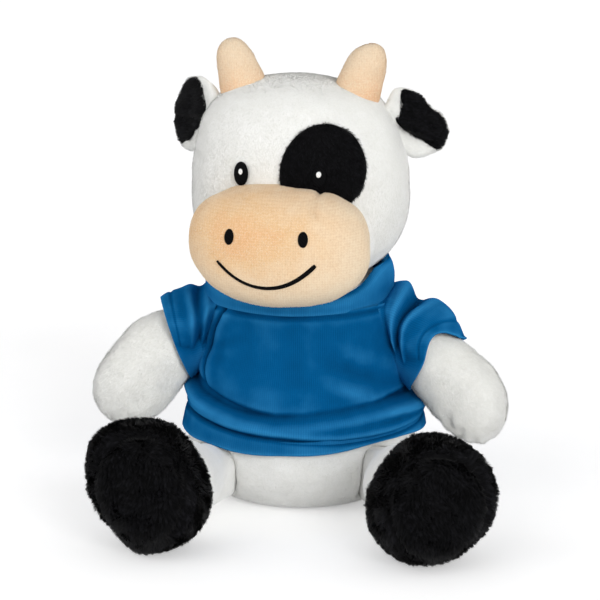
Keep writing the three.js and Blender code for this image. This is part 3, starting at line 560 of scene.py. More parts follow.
def make_torso():
    rows, sides = 188, 160
    table = along_curve(TORSO_ROWS, rows + 2)
    angle = all_round(sides)
    points = [table[0, [3, 4, 0]].tolist()]
    for z, wide, deep, x, y in table[1:-1]:
        points += places(x + wide * np.cos(angle), y + deep * np.sin(angle), z).tolist()
    points.append(table[-1, [3, 4, 0]].tolist())
    points, faces = np.array(points), grid_faces(rows, sides, poles=True)
    shown = step_up(points[:, 2], 3, 9) * step_up(np.hypot(points[:, 0], points[:, 1] - 5), 26, 34)
    # The belly sags forward a little between the legs
    belly = 1.2 * hump(points[:, 0] - 1, 26) * hump(points[:, 2] - 22, 10) * (points[:, 1] < -20)
    points = pushed(points, faces, shown * (0.4 * swell(points, 17, 3) + belly))
    for leg in (LEG_LEFT, LEG_RIGHT):
        points = pressed_in(points, faces, lambda p: inside_leg(p, *leg))
    points = relaxed(points, faces, 2, points[:, 2] < 3)
    piece("torso_skin", points, faces, white_plush, "torso", "torso", fill=0.8)

    def below_shirt(p, n):
        """Only the belly and seat show their pile, round the legs and outside the seat panel."""
        aside = ((p[:, 0] - 1) / 51) ** 2 + ((p[:, 1] + 3) / 49) ** 2 > 0.62
        legs = inside_leg(p, *LEG_LEFT, -0.2) | inside_leg(p, *LEG_RIGHT, -0.2)
        return (p[:, 2] > 1.2) & (p[:, 2] < 38) & (n[:, 2] > -0.8) & ~legs & aside

    pile("torso_pile", (points, faces), 70000, 0.9, 0.26, (0, 0, -1), 68, white_fibre, "torso",
         below_shirt, 21)


# ---------------------------------------------------------------- head

HEAD_BOTTOM = 93.0
HEAD_HEIGHT = 95.3
HEAD_HALF_WIDTH = 50.0
HEAD_SHARES = [[0, 0], [0.012, 0.22], [0.03, 0.4], [0.084, 0.62], [0.136, 0.75], [0.2, 0.86],
               [0.262, 0.926], [0.346, 0.98], [0.43, 1], [0.535, 0.996], [0.64, 0.97], [0.735, 0.92],
               [0.83, 0.836], [0.91, 0.715], [0.97, 0.49], [0.993, 0.24], [1, 0]]

# How the stuffing fills the head's front outline, beside the plain form: from the right ear's side, round
# by the chin, the left ear's side and the crown
HEAD_OUTLINE = [0.955, 0.955, 0.965, 0.975, 0.98, 0.98, 0.99, 0.98, 0.98, 0.985, 0.985, 0.985,
                0.99, 0.98, 0.98, 0.97, 0.975, 0.99, 1.0, 1.0, 0.99, 1.0, 1.005, 0.975]


def head_depth(share):
    """The head is a little flatter from front to back than it is wide."""
    return 1 - 0.08 * step_up(share, 0.2, 0.4)


def head_skin():
    points, faces = lofted(HEAD_SHARES, HEAD_HEIGHT, HEAD_HALF_WIDTH, HEAD_HALF_WIDTH, 120, 90)
    points[:, 1] *= head_depth(points[:, 2] / HEAD_HEIGHT)
    points[:, 1] += HEAD_AXIS[1]
    points[:, 2] += HEAD_BOTTOM
    points = relaxed(points, faces, 6)
    points[:, [0, 2]] = drawn_in(points[:, [0, 2]], (0, 150), HEAD_OUTLINE)
    return pushed(points, faces, 0.3 * swell(points, 24, 5) - 0.2), faces


def head_surface_y(x, z, out=0.0):
    """Y of the head's front at a place on the face, and how far out of it to stand."""
    share = np.clip((np.asarray(z, float) - HEAD_BOTTOM) / HEAD_HEIGHT, 0, 1)
    across = share_at(HEAD_SHARES, share) * HEAD_HALF_WIDTH + out
    inside = np.clip(1 - (np.asarray(x, float) / across) ** 2, 0, 1)
    return HEAD_AXIS[1] - across * head_depth(share) * np.sqrt(inside)


MUZZLE_Z = HEAD_BOTTOM + 0.32 * HEAD_HEIGHT
MUZZLE_SQUARENESS = 2.35
MUZZLE_SHARES = [[0, 0.9], [0.18, 0.98], [0.38, 1], [0.58, 0.95], [0.76, 0.83], [0.89, 0.64], [0.97, 0.38],
                 [0.994, 0.16], [1, 0]]

# How the stuffing fills the muzzle's outline, given as the head's is
MUZZLE_OUTLINE = [0.925, 0.875, 0.86, 0.885, 0.9, 0.92, 0.945, 0.945, 0.95, 0.965, 0.99, 0.99,
                  1.005, 0.985, 1.0, 0.995, 0.965, 0.975, 0.97, 0.965, 0.965, 1.0, 0.99, 0.96]

# The eyes' places, and the middle of the eye patch with how it was cut beside a plain oval
EYE_X, EYE_Z = 17, 152
PATCH_MIDDLE = (17.5, 155.0)
PATCH_OUTLINE = [0.93, 0.965, 0.985, 0.98, 0.95, 0.93, 0.93, 0.95, 0.99, 1.04, 1.02, 0.99,
                 0.965, 0.94, 0.93, 0.94, 0.945, 0.955, 0.965, 0.96, 0.94, 0.925, 0.915, 0.92]


def muzzle_skin():
    table = [[-0.02, 0]] + MUZZLE_SHARES
    points, faces = lofted(table, 36, 40.5, 26.3, 120, 90, squareness=MUZZLE_SQUARENESS, sink=-3)
    points = relaxed(points @ frame_along([0, -1, 0]) + np.array([0, -42.0, MUZZLE_Z]), faces, 8)
    points[:, [0, 2]] = drawn_in(points[:, [0, 2]], (-0.6, 124), MUZZLE_OUTLINE)
    # A short dart is sewn in at the upper left, over the eye patch, and the seam round the muzzle pulls in
    x, z = points[:, 0], points[:, 2]
    dart = hump(x - 19 + 0.35 * (z - 143), 1.1) * step_up(z, 137, 141)
    puckers = 0.45 * swell(points, 13, 8) * step_up(points[:, 1], -72, -50)
    return pushed(points, faces, 0.3 + 0.3 * swell(points, 20, 7) + puckers - 1.5 * dart), faces


def muzzle_surface_y(x, z, skin):
    """Y of the muzzle's front at places on the face, from the nearest points of its skin."""
    front = skin[0][skin[0][:, 1] < -55]
    out = []
    for a, b in zip(np.atleast_1d(x), np.atleast_1d(z)):
        near = (front[:, 0] - a) ** 2 + (front[:, 2] - b) ** 2
        order = np.argsort(near)[:6]
        weight = 1 / (near[order] + 0.05)
        out.append((front[order, 1] * weight).sum() / weight.sum())
    return np.array(out)


def domed_patch(outline, surface_y, rise, rings=8):
    """A sewn or stitched shape on the face: a thin closed pad with its edge let into the skin."""
    let_in = 0.6
    middle = outline.mean(0)
    back = middle + (outline - middle) * 0.9
    rows = [places(back[:, 0], surface_y(outline[:, 0], outline[:, 1]) + let_in, back[:, 1])]
    for k in range(rings, 0, -1):
        ring = middle + (outline - middle) * (k / rings)
        lift = rise * math.sqrt(max(0.0, 1 - (k / rings) ** 6))
        rows.append(places(ring[:, 0], surface_y(ring[:, 0], ring[:, 1]) - lift, ring[:, 1]))
    y = surface_y(middle[:1], middle[1:])[0]
    points = np.concatenate([[[middle[0], y + let_in, middle[1]]], *rows, [[middle[0], y - rise, middle[1]]]])
    return points, grid_faces(len(rows), len(outline), poles=True)


def ellipse(x, z, half_width, half_height, count=40, lean=0.0):
    angle = all_round(count)
    a, b = half_width * np.cos(angle), half_height * np.sin(angle)
    return places(x + a * math.cos(lean) - b * math.sin(lean), z + a * math.sin(lean) + b * math.cos(lean))


def make_head():
    points, faces = head_skin()
    skin = (turned_face(points), faces)
    piece("head_skin", *skin, white_plush, "head", "head", fill=0.85)
    muzzle = muzzle_skin()

    def beside_face(p, n):
        q = turned_back(p)
        patch, right_eye = within(q, 17.5, 154.6, 18.6, 19.1), within(q, -EYE_X, EYE_Z, 3.6, 5.2)
        nose = within(q, 0, MUZZLE_Z - 1, 38, 24, MUZZLE_SQUARENESS)
        # The left ear lies on the head here, and presses the pile flat
        pressed = (p[:, 0] > 31) & (np.abs(p[:, 1] + 1) < 5.5) & (np.abs(p[:, 2] - 168) < 19)
        return (p[:, 2] > 108) & ~((q[:, 1] < -20) & (patch | nose | right_eye)) & ~pressed

    pile("head_pile", skin, 150000, 1.15, 0.26, (0.05, -0.5, -1), 66, white_fibre, "head", beside_face, 31,
         tuft=2.4, spread=0.22, contrast=0.5)
    skin = (turned_face(muzzle[0]), muzzle[1])
    piece("muzzle_skin", *skin, muzzle_velour, "head", "muzzle", fill=0.85)
    pile("muzzle_fuzz", skin, 40000, 0.5, 0.15, (0, 0, -1), 60, tan_fibre, "head",
         lambda p, n: p[:, 1] < -40, 33, tuft=2.0, spread=0.5)
    make_face(muzzle)


def make_face(muzzle):
    """Patch, eyes, nostrils and smile, each sewn or stitched on its own place."""
    def on_head(out):
        return lambda x, z: head_surface_y(x, z, 0.35 + out)

    def stitched(name, outline, surface, rise, thread):
        points, faces = domed_patch(outline, surface, rise)
        piece(f"{name}_stitch", turned_face(points), faces, thread, "head", name)

    patch = drawn_in(ellipse(*PATCH_MIDDLE, 18.4, 19.0, 72), PATCH_MIDDLE, PATCH_OUTLINE)
    points, faces = domed_patch(patch, on_head(0), 1.2, 14)
    skin = (turned_face(points), faces)
    piece("eye_patch_skin", *skin, black_plush, "head", "eye_patch")

    def beside_eye(p, n):
        q = turned_back(p)
        nose = within(q, 0, MUZZLE_Z - 1.5, 40, 26.3, MUZZLE_SQUARENESS, 0.97)
        return (n[:, 1] < 0.2) & ~within(q, EYE_X, EYE_Z + 0.5, 3.2, 4.4) & ~nose

    pile("eye_patch_pile", skin, 26000, 2.0, 0.3, (0.1, 0, -1), 52, black_fibre, "head", beside_eye, 41,
         tuft=1.5, spread=0.6, contrast=0.6, gather=0.5, tone=0.65, shades=True)
    # The eyes and their glints: middle, half width and height, how far they stand out and how thick they are
    for name, x, z, wide, high, count, out, rise, thread in (
            ("eye_right", -EYE_X, EYE_Z, 3.4, 5.1, 40, 0.5, 1.1, black_thread),
            ("eye_left", EYE_X, EYE_Z, 3.4, 5.1, 40, 1.2, 0.9, black_thread),
            ("eye_glint_right", -EYE_X, EYE_Z + 1.1, 0.95, 1.25, 20, 1.7, 0.5, white_thread),
            ("eye_glint_left", EYE_X, EYE_Z + 1.1, 1.05, 1.3, 20, 2.2, 0.5, white_thread)):
        stitched(name, ellipse(x, z, wide, high, count), on_head(out), rise, thread)
    for side, word in ((1, "left"), (-1, "right")):
        stitched(f"nostril_{word}", ellipse(side * 15.7, 131, 2.1, 3.3, 32, side * 0.06),
                 lambda x, z: muzzle_surface_y(x, z, muzzle) - 0.1, 0.8, black_thread)
    make_smile(muzzle)


def make_smile(muzzle):
    """A row of satin stitches along a curve, each thread laid across it."""
    count, sides = 46, 10
    share = np.linspace(-1, 1, count)
    x = share * 21
    z = 120.3 - 10.4 * (1 - np.abs(share) ** 2.1)
    middle = places(x, muzzle_surface_y(x, z, muzzle), z)
    tangent = unit(np.gradient(middle, axis=0))
    outward = unit(np.cross(tangent, np.cross(np.array([0, -1.0, 0]), tangent)))
    across = np.cross(tangent, outward)
    points = [middle[0]]
    for k in range(count):
        half = (0.62 + 0.34 * step_up(share[k], -0.6, 0.9)) * (0.75 if k in (0, count - 1) else 1)
        # neighbouring threads sit a little apart, and every second one stands prouder
        rise = 0.55 + (0.12 if k % 2 else 0)
        for angle in all_round(sides):
            points.append(middle[k] + across[k] * half * math.cos(angle)
                          + outward[k] * (0.15 + rise * math.sin(angle)))
    points.append(middle[-1])
    piece("smile_stitches", turned_face(points), grid_faces(count, sides, poles=True), black_thread, "head",
          "smile_stitch")


# ---------------------------------------------------------------- horns

HORN_LENGTH = 27
HORN_SHARES = [[-0.15, 0], [-0.14, 0.9], [0, 0.97], [0.25, 1], [0.5, 0.93], [0.7, 0.82], [0.86, 0.63],
               [0.96, 0.36], [0.99, 0.17], [1, 0]]


def make_horn(side, word):
    points, faces = lofted(HORN_SHARES, HORN_LENGTH, 10.3, 9.6, 56, 56)
    along = points[:, 2] / HORN_LENGTH
    points[:, 0] += side * 2.7 * np.sign(along) * along ** 2
    points = relaxed(points, faces, 4)
    lean = math.radians(13 if side > 0 else 11)
    axes = np.array([[math.cos(lean), 0, -side * math.sin(lean)], [0, 1, 0],
                     [side * math.sin(lean), 0, math.cos(lean)]])
    points = points @ axes + np.array([25.0 if side > 0 else -23.8, -4.0, HEAD_BOTTOM + 0.892 * HEAD_HEIGHT])
    # Seams run up the two sides, and the stuffing dimples the cloth between them
    seam = hump(points[:, 1] + 4, 0.8) * 0.35
    skin = (turned_face(pushed(points, faces, 0.35 * swell(points, 11, 50 + side) - seam - 0.1)), faces)
    piece(f"horn_{word}_skin", *skin, horn_velour, "head", f"horn_{word}", fill=0.7)
    pile(f"horn_{word}_fuzz", skin, 14000, 0.7, 0.2, (0, 0, 1), 55, tan_fibre, "head",
         lambda p, n: p[:, 2] > 172, 60 + side, tuft=2.0)


# ---------------------------------------------------------------- ears

# Outlines of the ears as they are seen from the front: the whole ear with its root inside the head, and the
# dark lining, whose lower edge leaves a rim of white
EAR_LEFT = [[38.6, 177], [39.8, 180.6], [41.8, 183.4], [45, 183.9], [48, 183], [52.1, 181], [55.6, 176.9],
            [58.4, 174.3], [61.6, 172.3], [64.2, 168.8], [65.4, 163.8], [64.1, 159.2], [61.5, 155.6],
            [57, 153.7], [50.2, 152.5], [47, 154], [44, 158], [39, 163], [35, 170]]
LINING_LEFT = [[45, 182.8], [46.3, 183.5], [48, 182.8], [52.1, 180.8], [55.6, 176.6], [58.1, 174],
               [61.3, 172.1], [63.8, 168.7], [65.1, 163.7], [63.9, 159.4], [61.5, 156], [59.2, 156.9],
               [54.1, 160.5], [48.2, 164.5], [43.4, 168.3], [42.5, 170.4], [44.4, 173.1], [44.7, 178.6]]
EAR_RIGHT = [[-35.5, 177], [-36.4, 180.5], [-39, 183.6], [-42, 185.2], [-45.4, 186], [-48.9, 185.6],
             [-51.8, 183.6], [-54.2, 178.8], [-55.9, 175], [-57.6, 171.3], [-58, 166.8], [-57.8, 160.7],
             [-56.4, 156.4], [-55, 153.4], [-52.8, 151.8], [-49.4, 151.2], [-44, 156], [-38, 166]]
LINING_RIGHT = [[-51.6, 183.5], [-48.9, 185.3], [-45.6, 185.5], [-44, 183.8], [-43.1, 178.8], [-42.1, 173.8],
                [-42.8, 169.4], [-44.8, 165.6], [-47.8, 160.6], [-50.9, 156.6], [-55, 154], [-56.2, 156.6],
                [-57.4, 160.7], [-57.6, 166.8], [-57.2, 171.3], [-55.7, 175], [-54, 178.8]]


def around_middle(outline, count=120):
    """The middle of an outline, its reach at any angle from there, and points evenly round it."""
    outline = np.array(outline, float)
    middle = (outline.max(0) + outline.min(0)) / 2
    p = outline - middle
    angle, far = np.arctan2(p[:, 1], p[:, 0]), np.hypot(p[:, 0], p[:, 1])
    order = np.argsort(angle)
    fine, at = all_round(720, -math.pi), all_round(count, -math.pi)
    reach = np.interp(fine, angle[order], far[order], period=2 * math.pi)
    reach = blurred(reach, 6.0, 12)
    ring = middle + places(np.cos(at), np.sin(at)) * np.interp(at, fine, reach)[:, None]
    return middle, lambda a: np.interp(a, fine, reach, period=2 * math.pi), ring


def make_ear(side, word, outline, dark_outline, swept, ahead):
    """A leaf of two layers, cupped forward, with a fold that runs out from where it is sewn in."""
    middle, reach, ring = around_middle(outline)
    root_x, fold_z, back_rise = 40, 171, 2.2
    body = f"ear_{word}"

    def backward(x):
        return ahead + swept * np.maximum(0, side * x - root_x)

    def front_y(x, z):
        far = np.hypot(x - middle[0], z - middle[1])
        share = np.clip(far / reach(np.arctan2(z - middle[1], x - middle[0])), 0, 1)
        pad = 2.6 * np.sqrt(1 - share ** 5) - 2.4 * (1 - share ** 2) ** 2
        out = side * x - root_x
        line = z - (fold_z - (0.42 if side > 0 else 0.1) * out)
        fold = 1.9 * hump(line, 2.2) - 1.7 * hump(line + 4.4, 2.0) + 0.9 * hump(line - 5, 2.5)
        fold = fold * step_up(out, 0, 6) * (1 - 0.8 * step_up(share, 0.55, 1))
        return backward(x) - pad - fold

    rings = 16
    rows = []
    for k in range(1, rings + 1):
        x, z = (middle + (ring - middle) * k / rings).T
        rows.append(places(x, backward(x) + back_rise * math.sqrt(1 - (k / rings) ** 5), z))
    for k in range(rings, 0, -1):
        x, z = (middle + (ring - middle) * k / rings).T
        rows.append(places(x, front_y(x, z), z))
    first = [middle[0], backward(middle[0]) + back_rise, middle[1]]
    last = [middle[0], front_y(*middle), middle[1]]
    points = np.concatenate([[first], *rows, [last]])
    faces = grid_faces(len(rows), len(ring), poles=True)
    points = pushed(points, faces, 0.25 * swell(points, 8, 70 + side))
    piece(f"{body}_skin", points, faces, white_plush, body, body, fill=0.35)
    dark_middle, dark_reach, dark_ring = around_middle(dark_outline)
    lining = domed_patch(dark_ring, lambda x, z: front_y(x, z) - 0.45, 0.7, 16)
    lining[0][:, 1] += 0.25 * swell(lining[0], 8, 70 + side)
    piece(f"ear_lining_{word}_skin", *lining, black_plush, body, f"ear_lining_{word}")

    def white(p, n):
        x, z = p[:, 0] - dark_middle[0], p[:, 2] - dark_middle[1]
        dark = np.hypot(x, z) < 0.97 * dark_reach(np.arctan2(z, x))
        return ~(dark & (n[:, 1] < 0.3)) & (side * p[:, 0] > 37)

    outward = (side, 0.2, -0.25)
    pile(f"ear_lining_{word}_pile", lining, 17000, 1.9, 0.3, outward, 52, black_fibre, body,
         lambda p, n: (n[:, 1] < 0.1) & (side * p[:, 0] > 44.2), 80 + side, tuft=2.2, spread=0.7,
         contrast=0.6, gather=0.55, tone=0.65, shades=True)
    pile(f"{body}_pile", (points, faces), 15000, 1.3, 0.28, outward, 60, white_fibre, body, white, 90 + side)


# ---------------------------------------------------------------- arms

ARM_SHARES = [[-0.235, 0], [-0.228, 0.2], [-0.18, 0.58], [-0.14, 0.72], [0, 0.79], [0.26, 0.87],
              [0.48, 0.97], [0.66, 1], [0.82, 0.9], [0.93, 0.64], [0.985, 0.32], [1, 0]]
# The arm's middle line bows by a quarter of this
ARM_BOW = 16.0

# Each arm: side, shoulder, how steeply it hangs in degrees, length and radius
ARM_LEFT = (1, (43.2, -4, 73.4), 38, 65.5, 16.9)
ARM_RIGHT = (-1, (-39.5, -4, 74), 34, 63.5, 16.3)


def arm_axes(side, drop_deg):
    drop, ahead = math.radians(drop_deg), math.radians(25)
    z = np.array([side * math.cos(drop) * math.cos(ahead), -math.cos(drop) * math.sin(ahead),
                  -math.sin(drop)])
    y = unit(np.cross([0, -side, 0], z))
    return np.array([np.cross(y, z), y, z])


def make_arm(side, shoulder, drop_deg, length, radius, word, plump, full):
    points, faces = lofted(ARM_SHARES, length, radius * 0.94, radius, 84, 84, bow=ARM_BOW)
    points = relaxed(points, faces, 6)
    # The stuffing is pushed up near the shoulder, and sags on the underside of the hand
    points[:, 1] *= 1 + plump * hump(points[:, 2] / length - 0.3, 0.26) * (points[:, 1] > 0) \
        + full * hump(points[:, 2] / length - 0.64, 0.26) * (points[:, 1] < 0)
    # The hand is stuffed softer than the arm: its underside puckers in shallow dimples
    under = step_up(points[:, 2], 34, 54) * step_up(-points[:, 1], -2, 12)
    dimples = 0.3 * swell(points, 12, 100 + side) + 0.8 * under * swell(points, 6.5, 104 + side)
    axes = arm_axes(side, drop_deg)
    points = pushed(points, faces, dimples - 0.7) @ axes + np.array(shoulder)
    piece(f"arm_{word}_skin", points, faces, white_plush, f"arm_{word}", f"arm_{word}", fill=0.8)
    out_of_sleeve = 17 if side > 0 else 13
    pile(f"arm_{word}_pile", (points, faces), 62000, 1.7, 0.3, axes[2], 60, white_fibre, f"arm_{word}",
         lambda p, n: (p - np.array(shoulder)) @ axes[2] > out_of_sleeve, 110 + side, tuft=3.4, spread=0.45,
         contrast=0.4)


# ---------------------------------------------------------------- legs and feet

LEG_LENGTH, LEG_RADIUS = 60, 19
LEG_SHARES = [[-0.293, 0], [-0.285, 0.2], [-0.2, 0.67], [-0.1, 0.87], [0, 0.94], [0.25, 0.97], [0.5, 1],
              [0.75, 0.99], [0.88, 0.93], [0.93, 0.6], [0.94, 0]]

# A foot's half width and half height, and its depth from the sole to the heel's end
BOOT_HALF = np.array([26.2, 27.7])
BOOT_DEPTH = 40
BOOT_SHARES = [[0, 0], [0.008, 0.25], [0.03, 0.5], [0.14, 0.78], [0.32, 0.95], [0.55, 1], [0.76, 0.96],
               [0.9, 0.83], [0.975, 0.62], [0.985, 0.4], [0.99, 0]]

# How the stuffing fills each foot's outline, seen from its sole
BOOT_LEFT_OUTLINE = [0.98, 1.01, 1.02, 1.02, 0.98, 0.95, 0.945, 0.905, 0.845, 0.85, 0.877, 0.892,
                     0.908, 0.902, 0.9, 0.91, 0.885, 0.885, 0.91, 0.87, 0.845, 0.805, 0.835, 0.895]
BOOT_RIGHT_OUTLINE = [0.9, 0.87, 0.79, 0.78, 0.79, 0.89, 0.97, 0.94, 0.94, 0.955, 0.975, 0.94,
                      0.92, 0.85, 0.81, 0.8, 0.845, 0.935, 0.973, 0.97, 1.03, 1.1, 1.04, 0.93]

# Each leg: side, hip, how far it is splayed, and how much the belly squeezes its inner side
LEG_LEFT = (1, (31, -31, 20), 27, 0.8)
LEG_RIGHT = (-1, (-30, -31, 20), 20, 0.42)


def leg_axes(side, splay_deg):
    splay = math.radians(splay_deg)
    return frame_along(np.array([side * math.sin(splay), -math.cos(splay), 5 / 60]))


def leg_squeeze(q, side, slim):
    """Beside the belly the leg is squeezed thin, and the hem of the shirt rests on its top."""
    root = 1 - step_up(q[:, 2], 15, 48)
    wide = np.where(side * q[:, 0] < 0, 1 - slim * root, 1 - 0.1 * root)
    return wide, np.where(q[:, 1] > 0, 1 - 0.48 * root, 1)


def inside_leg(p, side, hip, splay_deg, slim, deeper=2.2):
    """Whether points lie in a leg, by at least so many millimetres."""
    q = (p - np.array(hip)) @ leg_axes(side, splay_deg).T
    wide, high = leg_squeeze(q, side, slim)
    across = share_at(LEG_SHARES, q[:, 2] / LEG_LENGTH, left=0, right=0) * LEG_RADIUS
    return np.hypot(q[:, 0] / wide, q[:, 1] / high) < across - deeper


def make_leg(side, hip, splay_deg, slim, word, ahead, turn_deg, outline, sole_at):
    """A leg with its foot: how far ahead of it the foot stands and how it is turned, and the place and half
    sizes of its sole."""
    body = f"leg_{word}"
    axes = leg_axes(side, splay_deg)
    points, faces = lofted(LEG_SHARES, LEG_LENGTH, LEG_RADIUS, LEG_RADIUS, 72, 72)
    points = relaxed(points, faces, 5)
    wide, high = leg_squeeze(points, side, slim)
    points[:, 0] *= wide
    points[:, 1] *= high
    points = relaxed(points, faces, 4)
    points = pushed(points, faces, 0.35 * swell(points, 14, 120 + side) - 0.5)
    points = points @ axes + np.array(hip)
    points[:, 2] = np.maximum(points[:, 2], 0.6)
    leg = piece(f"{body}_skin", points, faces, white_plush, body, body, fill=0.75)
    # The leg's skin is taken off the leg's body and stays where it is, its root sewn into the torso
    leg.parent = None
    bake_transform(leg)

    splay, turn = math.radians(splay_deg), math.radians(turn_deg)
    reach = LEG_LENGTH + ahead
    place = np.array([hip[0] + side * reach * math.sin(splay), hip[1] - reach * math.cos(splay), 28.0])
    axes = frame_along(np.array([side * math.sin(turn), -math.cos(turn), 0]))
    points, faces = lofted(BOOT_SHARES, BOOT_DEPTH, *BOOT_HALF, 108, 80, squareness=2.2)
    points[:, 2] -= BOOT_DEPTH / 2
    points = drawn_in(relaxed(points, faces, 5), (0, 0), outline)
    # The sole panel is set in from a soft rim, deepest along the top
    flat = (points[:, :2] - np.array(sole_at[:2])) / np.array(sole_at[2:])
    radial = np.hypot(flat[:, 0], flat[:, 1])
    upper = 0.2 + 0.8 * step_up(flat[:, 1] + 0.4 * flat[:, 0], -0.5, 0.5)
    front = step_up(points[:, 2], 6, 13)
    rim = front * upper * (1.5 * hump(radial - 1.16, 0.12) - 2.1 * hump(radial - 0.99, 0.07))
    points = pushed(points, faces, 0.3 * swell(points, 13, 140 + side) + rim) @ axes + place
    points[:, 2] = np.maximum(points[:, 2], 0)
    piece(f"boot_{word}_skin", points, faces, black_plush, body, f"boot_{word}", fill=0.75)

    def outside_sole(p, n):
        q = (p - place) @ axes.T
        inside = np.hypot((q[:, 0] - sole_at[0]) / sole_at[2], (q[:, 1] - sole_at[1]) / sole_at[3]) < 0.97
        return ~((q[:, 2] > 10) & inside) & (p[:, 2] > 0.8)

    def nap(p):
        q = (p - place) @ axes.T
        away = unit(q * [1, 1, 0] + 1e-6) * 0.8
        return (away + np.array([0, -0.4, 0.9]) * step_up(q[:, 2], -14, 10)[:, None]) @ axes

    pile(f"boot_{word}_pile", (points, faces), 80000, 3.3, 0.36, nap, 48, black_fibre, body, outside_sole,
         150 + side, tuft=3.4, spread=0.8, contrast=0.75, gather=0.68)
    make_sole(side, word, place, axes, outline, sole_at)


def make_sole(side, word, place, axes, boot_outline, sole_at):
    outline, middle = ellipse(*sole_at, 72), np.array(sole_at[:2])

    def sole_front(x, y):
        """How far forward the foot's end stands: a soft dome with its edge drawn in."""
        filled = smooth_round(boot_outline, np.degrees(np.arctan2(y, x)))
        r = np.hypot(x / BOOT_HALF[0], y / BOOT_HALF[1]) / filled
        table = along_curve(BOOT_SHARES, 300)
        ahead = table[np.argmax(table[:, 1]):]
        return BOOT_DEPTH * (np.interp(-r, -ahead[:, 1], ahead[:, 0]) - 0.5)

    rings = 12
    points = [[*middle, 15.0]]
    for row, k in enumerate([rings, *range(rings, 0, -1)]):
        x, y = (middle + (outline - middle) * (k / rings)).T
        # The first row is the panel's edge, let into the foot
        lift = -1.2 if row == 0 else -1.0 + 2.0 * math.sqrt(max(0.0, 1 - (k / rings) ** 5))
        points += places(x, y, np.maximum(sole_front(x, y), 8) + lift).tolist()
    points.append([*middle, BOOT_DEPTH * 0.49 + 1.0])
    faces = grid_faces(rings + 1, len(outline), poles=True)
    points = relaxed(points, faces, 3)
    points[:, 2] += 0.35 * swell(points, 12, 160 + side)
    points = points @ axes + place
    points[:, 2] = np.maximum(points[:, 2], 0.3)
    piece(f"sole_{word}_skin", points, faces, black_plush, f"leg_{word}", f"sole_{word}")
    pile(f"sole_{word}_pile", (points, faces), 42000, 2.7, 0.36, -axes[1], 44, black_fibre, f"leg_{word}",
         lambda p, n: (n @ axes[2] > 0.1) & (p[:, 2] > 0.8), 170 + side, tuft=3.0, spread=0.8, contrast=0.7,
         gather=0.68, tone=0.62, shades=True)


# ---------------------------------------------------------------- tail

def make_tail():
    root = np.array([1.0, 45.0, 19.0])
    rows, sides = 30, 28
    angle = all_round(sides)
    points = [root + [0, -4.5, 0]]
    for k in range(rows):
        share = k / (rows - 1)
        x, y, z = root + [0, -4.2 + share * 21, -10.5 * max(0, share * 1.2 - 0.2) ** 1.5]
        radius = 3.7 + 1.3 * hump(share, 0.2)
        radius *= min(1, 0.35 + 6 * share) * (1 if k < rows - 1 else 0.8)
        points += places(x - radius * np.cos(angle), y, z + radius * np.sin(angle)).tolist()
    points.append(root + [0, 17, -10.5])
    faces = grid_faces(rows, sides, poles=True)
    points = relaxed(points, faces, 2)
    piece("tail_skin", points, faces, white_plush, "tail", "tail", fill=0.7)
    pile("tail_pile", (points, faces), 9000, 1.8, 0.3, (0, 1, -0.4), 58, white_fibre, "tail",
         lambda p, n: p[:, 1] > 50, 181)
    tuft_shares = [[0, 0], [0.02, 0.45], [0.25, 0.85], [0.5, 1], [0.75, 0.8], [0.93, 0.4], [1, 0]]
    points, faces = lofted(tuft_shares, 16.6, 6.6, 6.6, 40, 40)
    points = points @ frame_along([0, 1, 0]) + root + np.array([0, 17.5, -10.5])
    points = pushed(points, faces, 0.4 * swell(points, 7, 184))
    piece("tail_tuft_skin", points, faces, black_plush, "tail", "tail_tuft", fill=0.5)
    pile("tail_tuft_pile", (points, faces), 9000, 3.0, 0.34, (0, 1, -0.3), 42, black_fibre, "tail",
         lambda p, n: p[:, 2] > 1.5, 185, spread=0.5)


# ---------------------------------------------------------------- shirt

# The slack of the shirt, round the body: angle from the toy's left side, height of the crease over the
# roll, its depth, and how far the roll under it stands out
CREASE = [[-180, 52.5, 2.2, 2.6], [-165, 53.5, 3.4, 3.4], [-150, 51.0, 3.6, 2.8], [-129, 48.6, 2.9, 2.0],
          [-112, 46.6, 2.3, 1.8], [-97, 45.6, 1.6, 1.7], [-84, 46.2, 1.0, 1.4], [-66, 47.8, 0.8, 1.4],
          [-50, 49.0, 1.2, 1.6], [-33, 49.5, 2.0, 2.2], [-14, 48.6, 2.8, 3.4], [5, 47.0, 2.6, 3.6],
          [35, 46.0, 1.6, 2.4], [80, 45.0, 1.0, 1.6], [120, 46.5, 1.2, 1.8], [150, 50.0, 1.6, 2.2]]

# The narrow crease over the hem: angle and height. Then the height of the hem's edge
HEM_CREASE = [[-180, 40.0], [-150, 40.5], [-119, 38.4], [-97, 37.2], [-80, 36.2], [-66, 35.4],
              [-27, 36.0], [-2, 37.0], [40, 34.0], [90, 33.0], [140, 36.0]]
HEM_TABLE = [[-180, 28.6], [-150, 30.2], [-130, 30.3], [-106, 29.6], [-84, 30.2], [-66, 31.4], [-45, 33.6],
             [-30, 33.6], [-5, 30.0], [30, 27.6], [90, 26.4], [150, 27.0]]
SHIRT_TOP = 90.0

# Where the raglan seams run over the front: x and height, from the armpit up
RAGLAN_LEFT = [[55.2, 48], [50, 55], [47, 64], [45.3, 72], [43.2, 82], [40.6, 91.5]]
RAGLAN_RIGHT = [[-40.4, 50], [-39.9, 55], [-39.2, 64], [-37.5, 72], [-34.9, 80], [-31.4, 87], [-27.6, 93]]


def around(table, theta_deg, column=1):
    """A value of a table that goes once round the body."""
    t = np.array(table, float)
    return np.interp(theta_deg, t[:, 0], t[:, column], period=360)


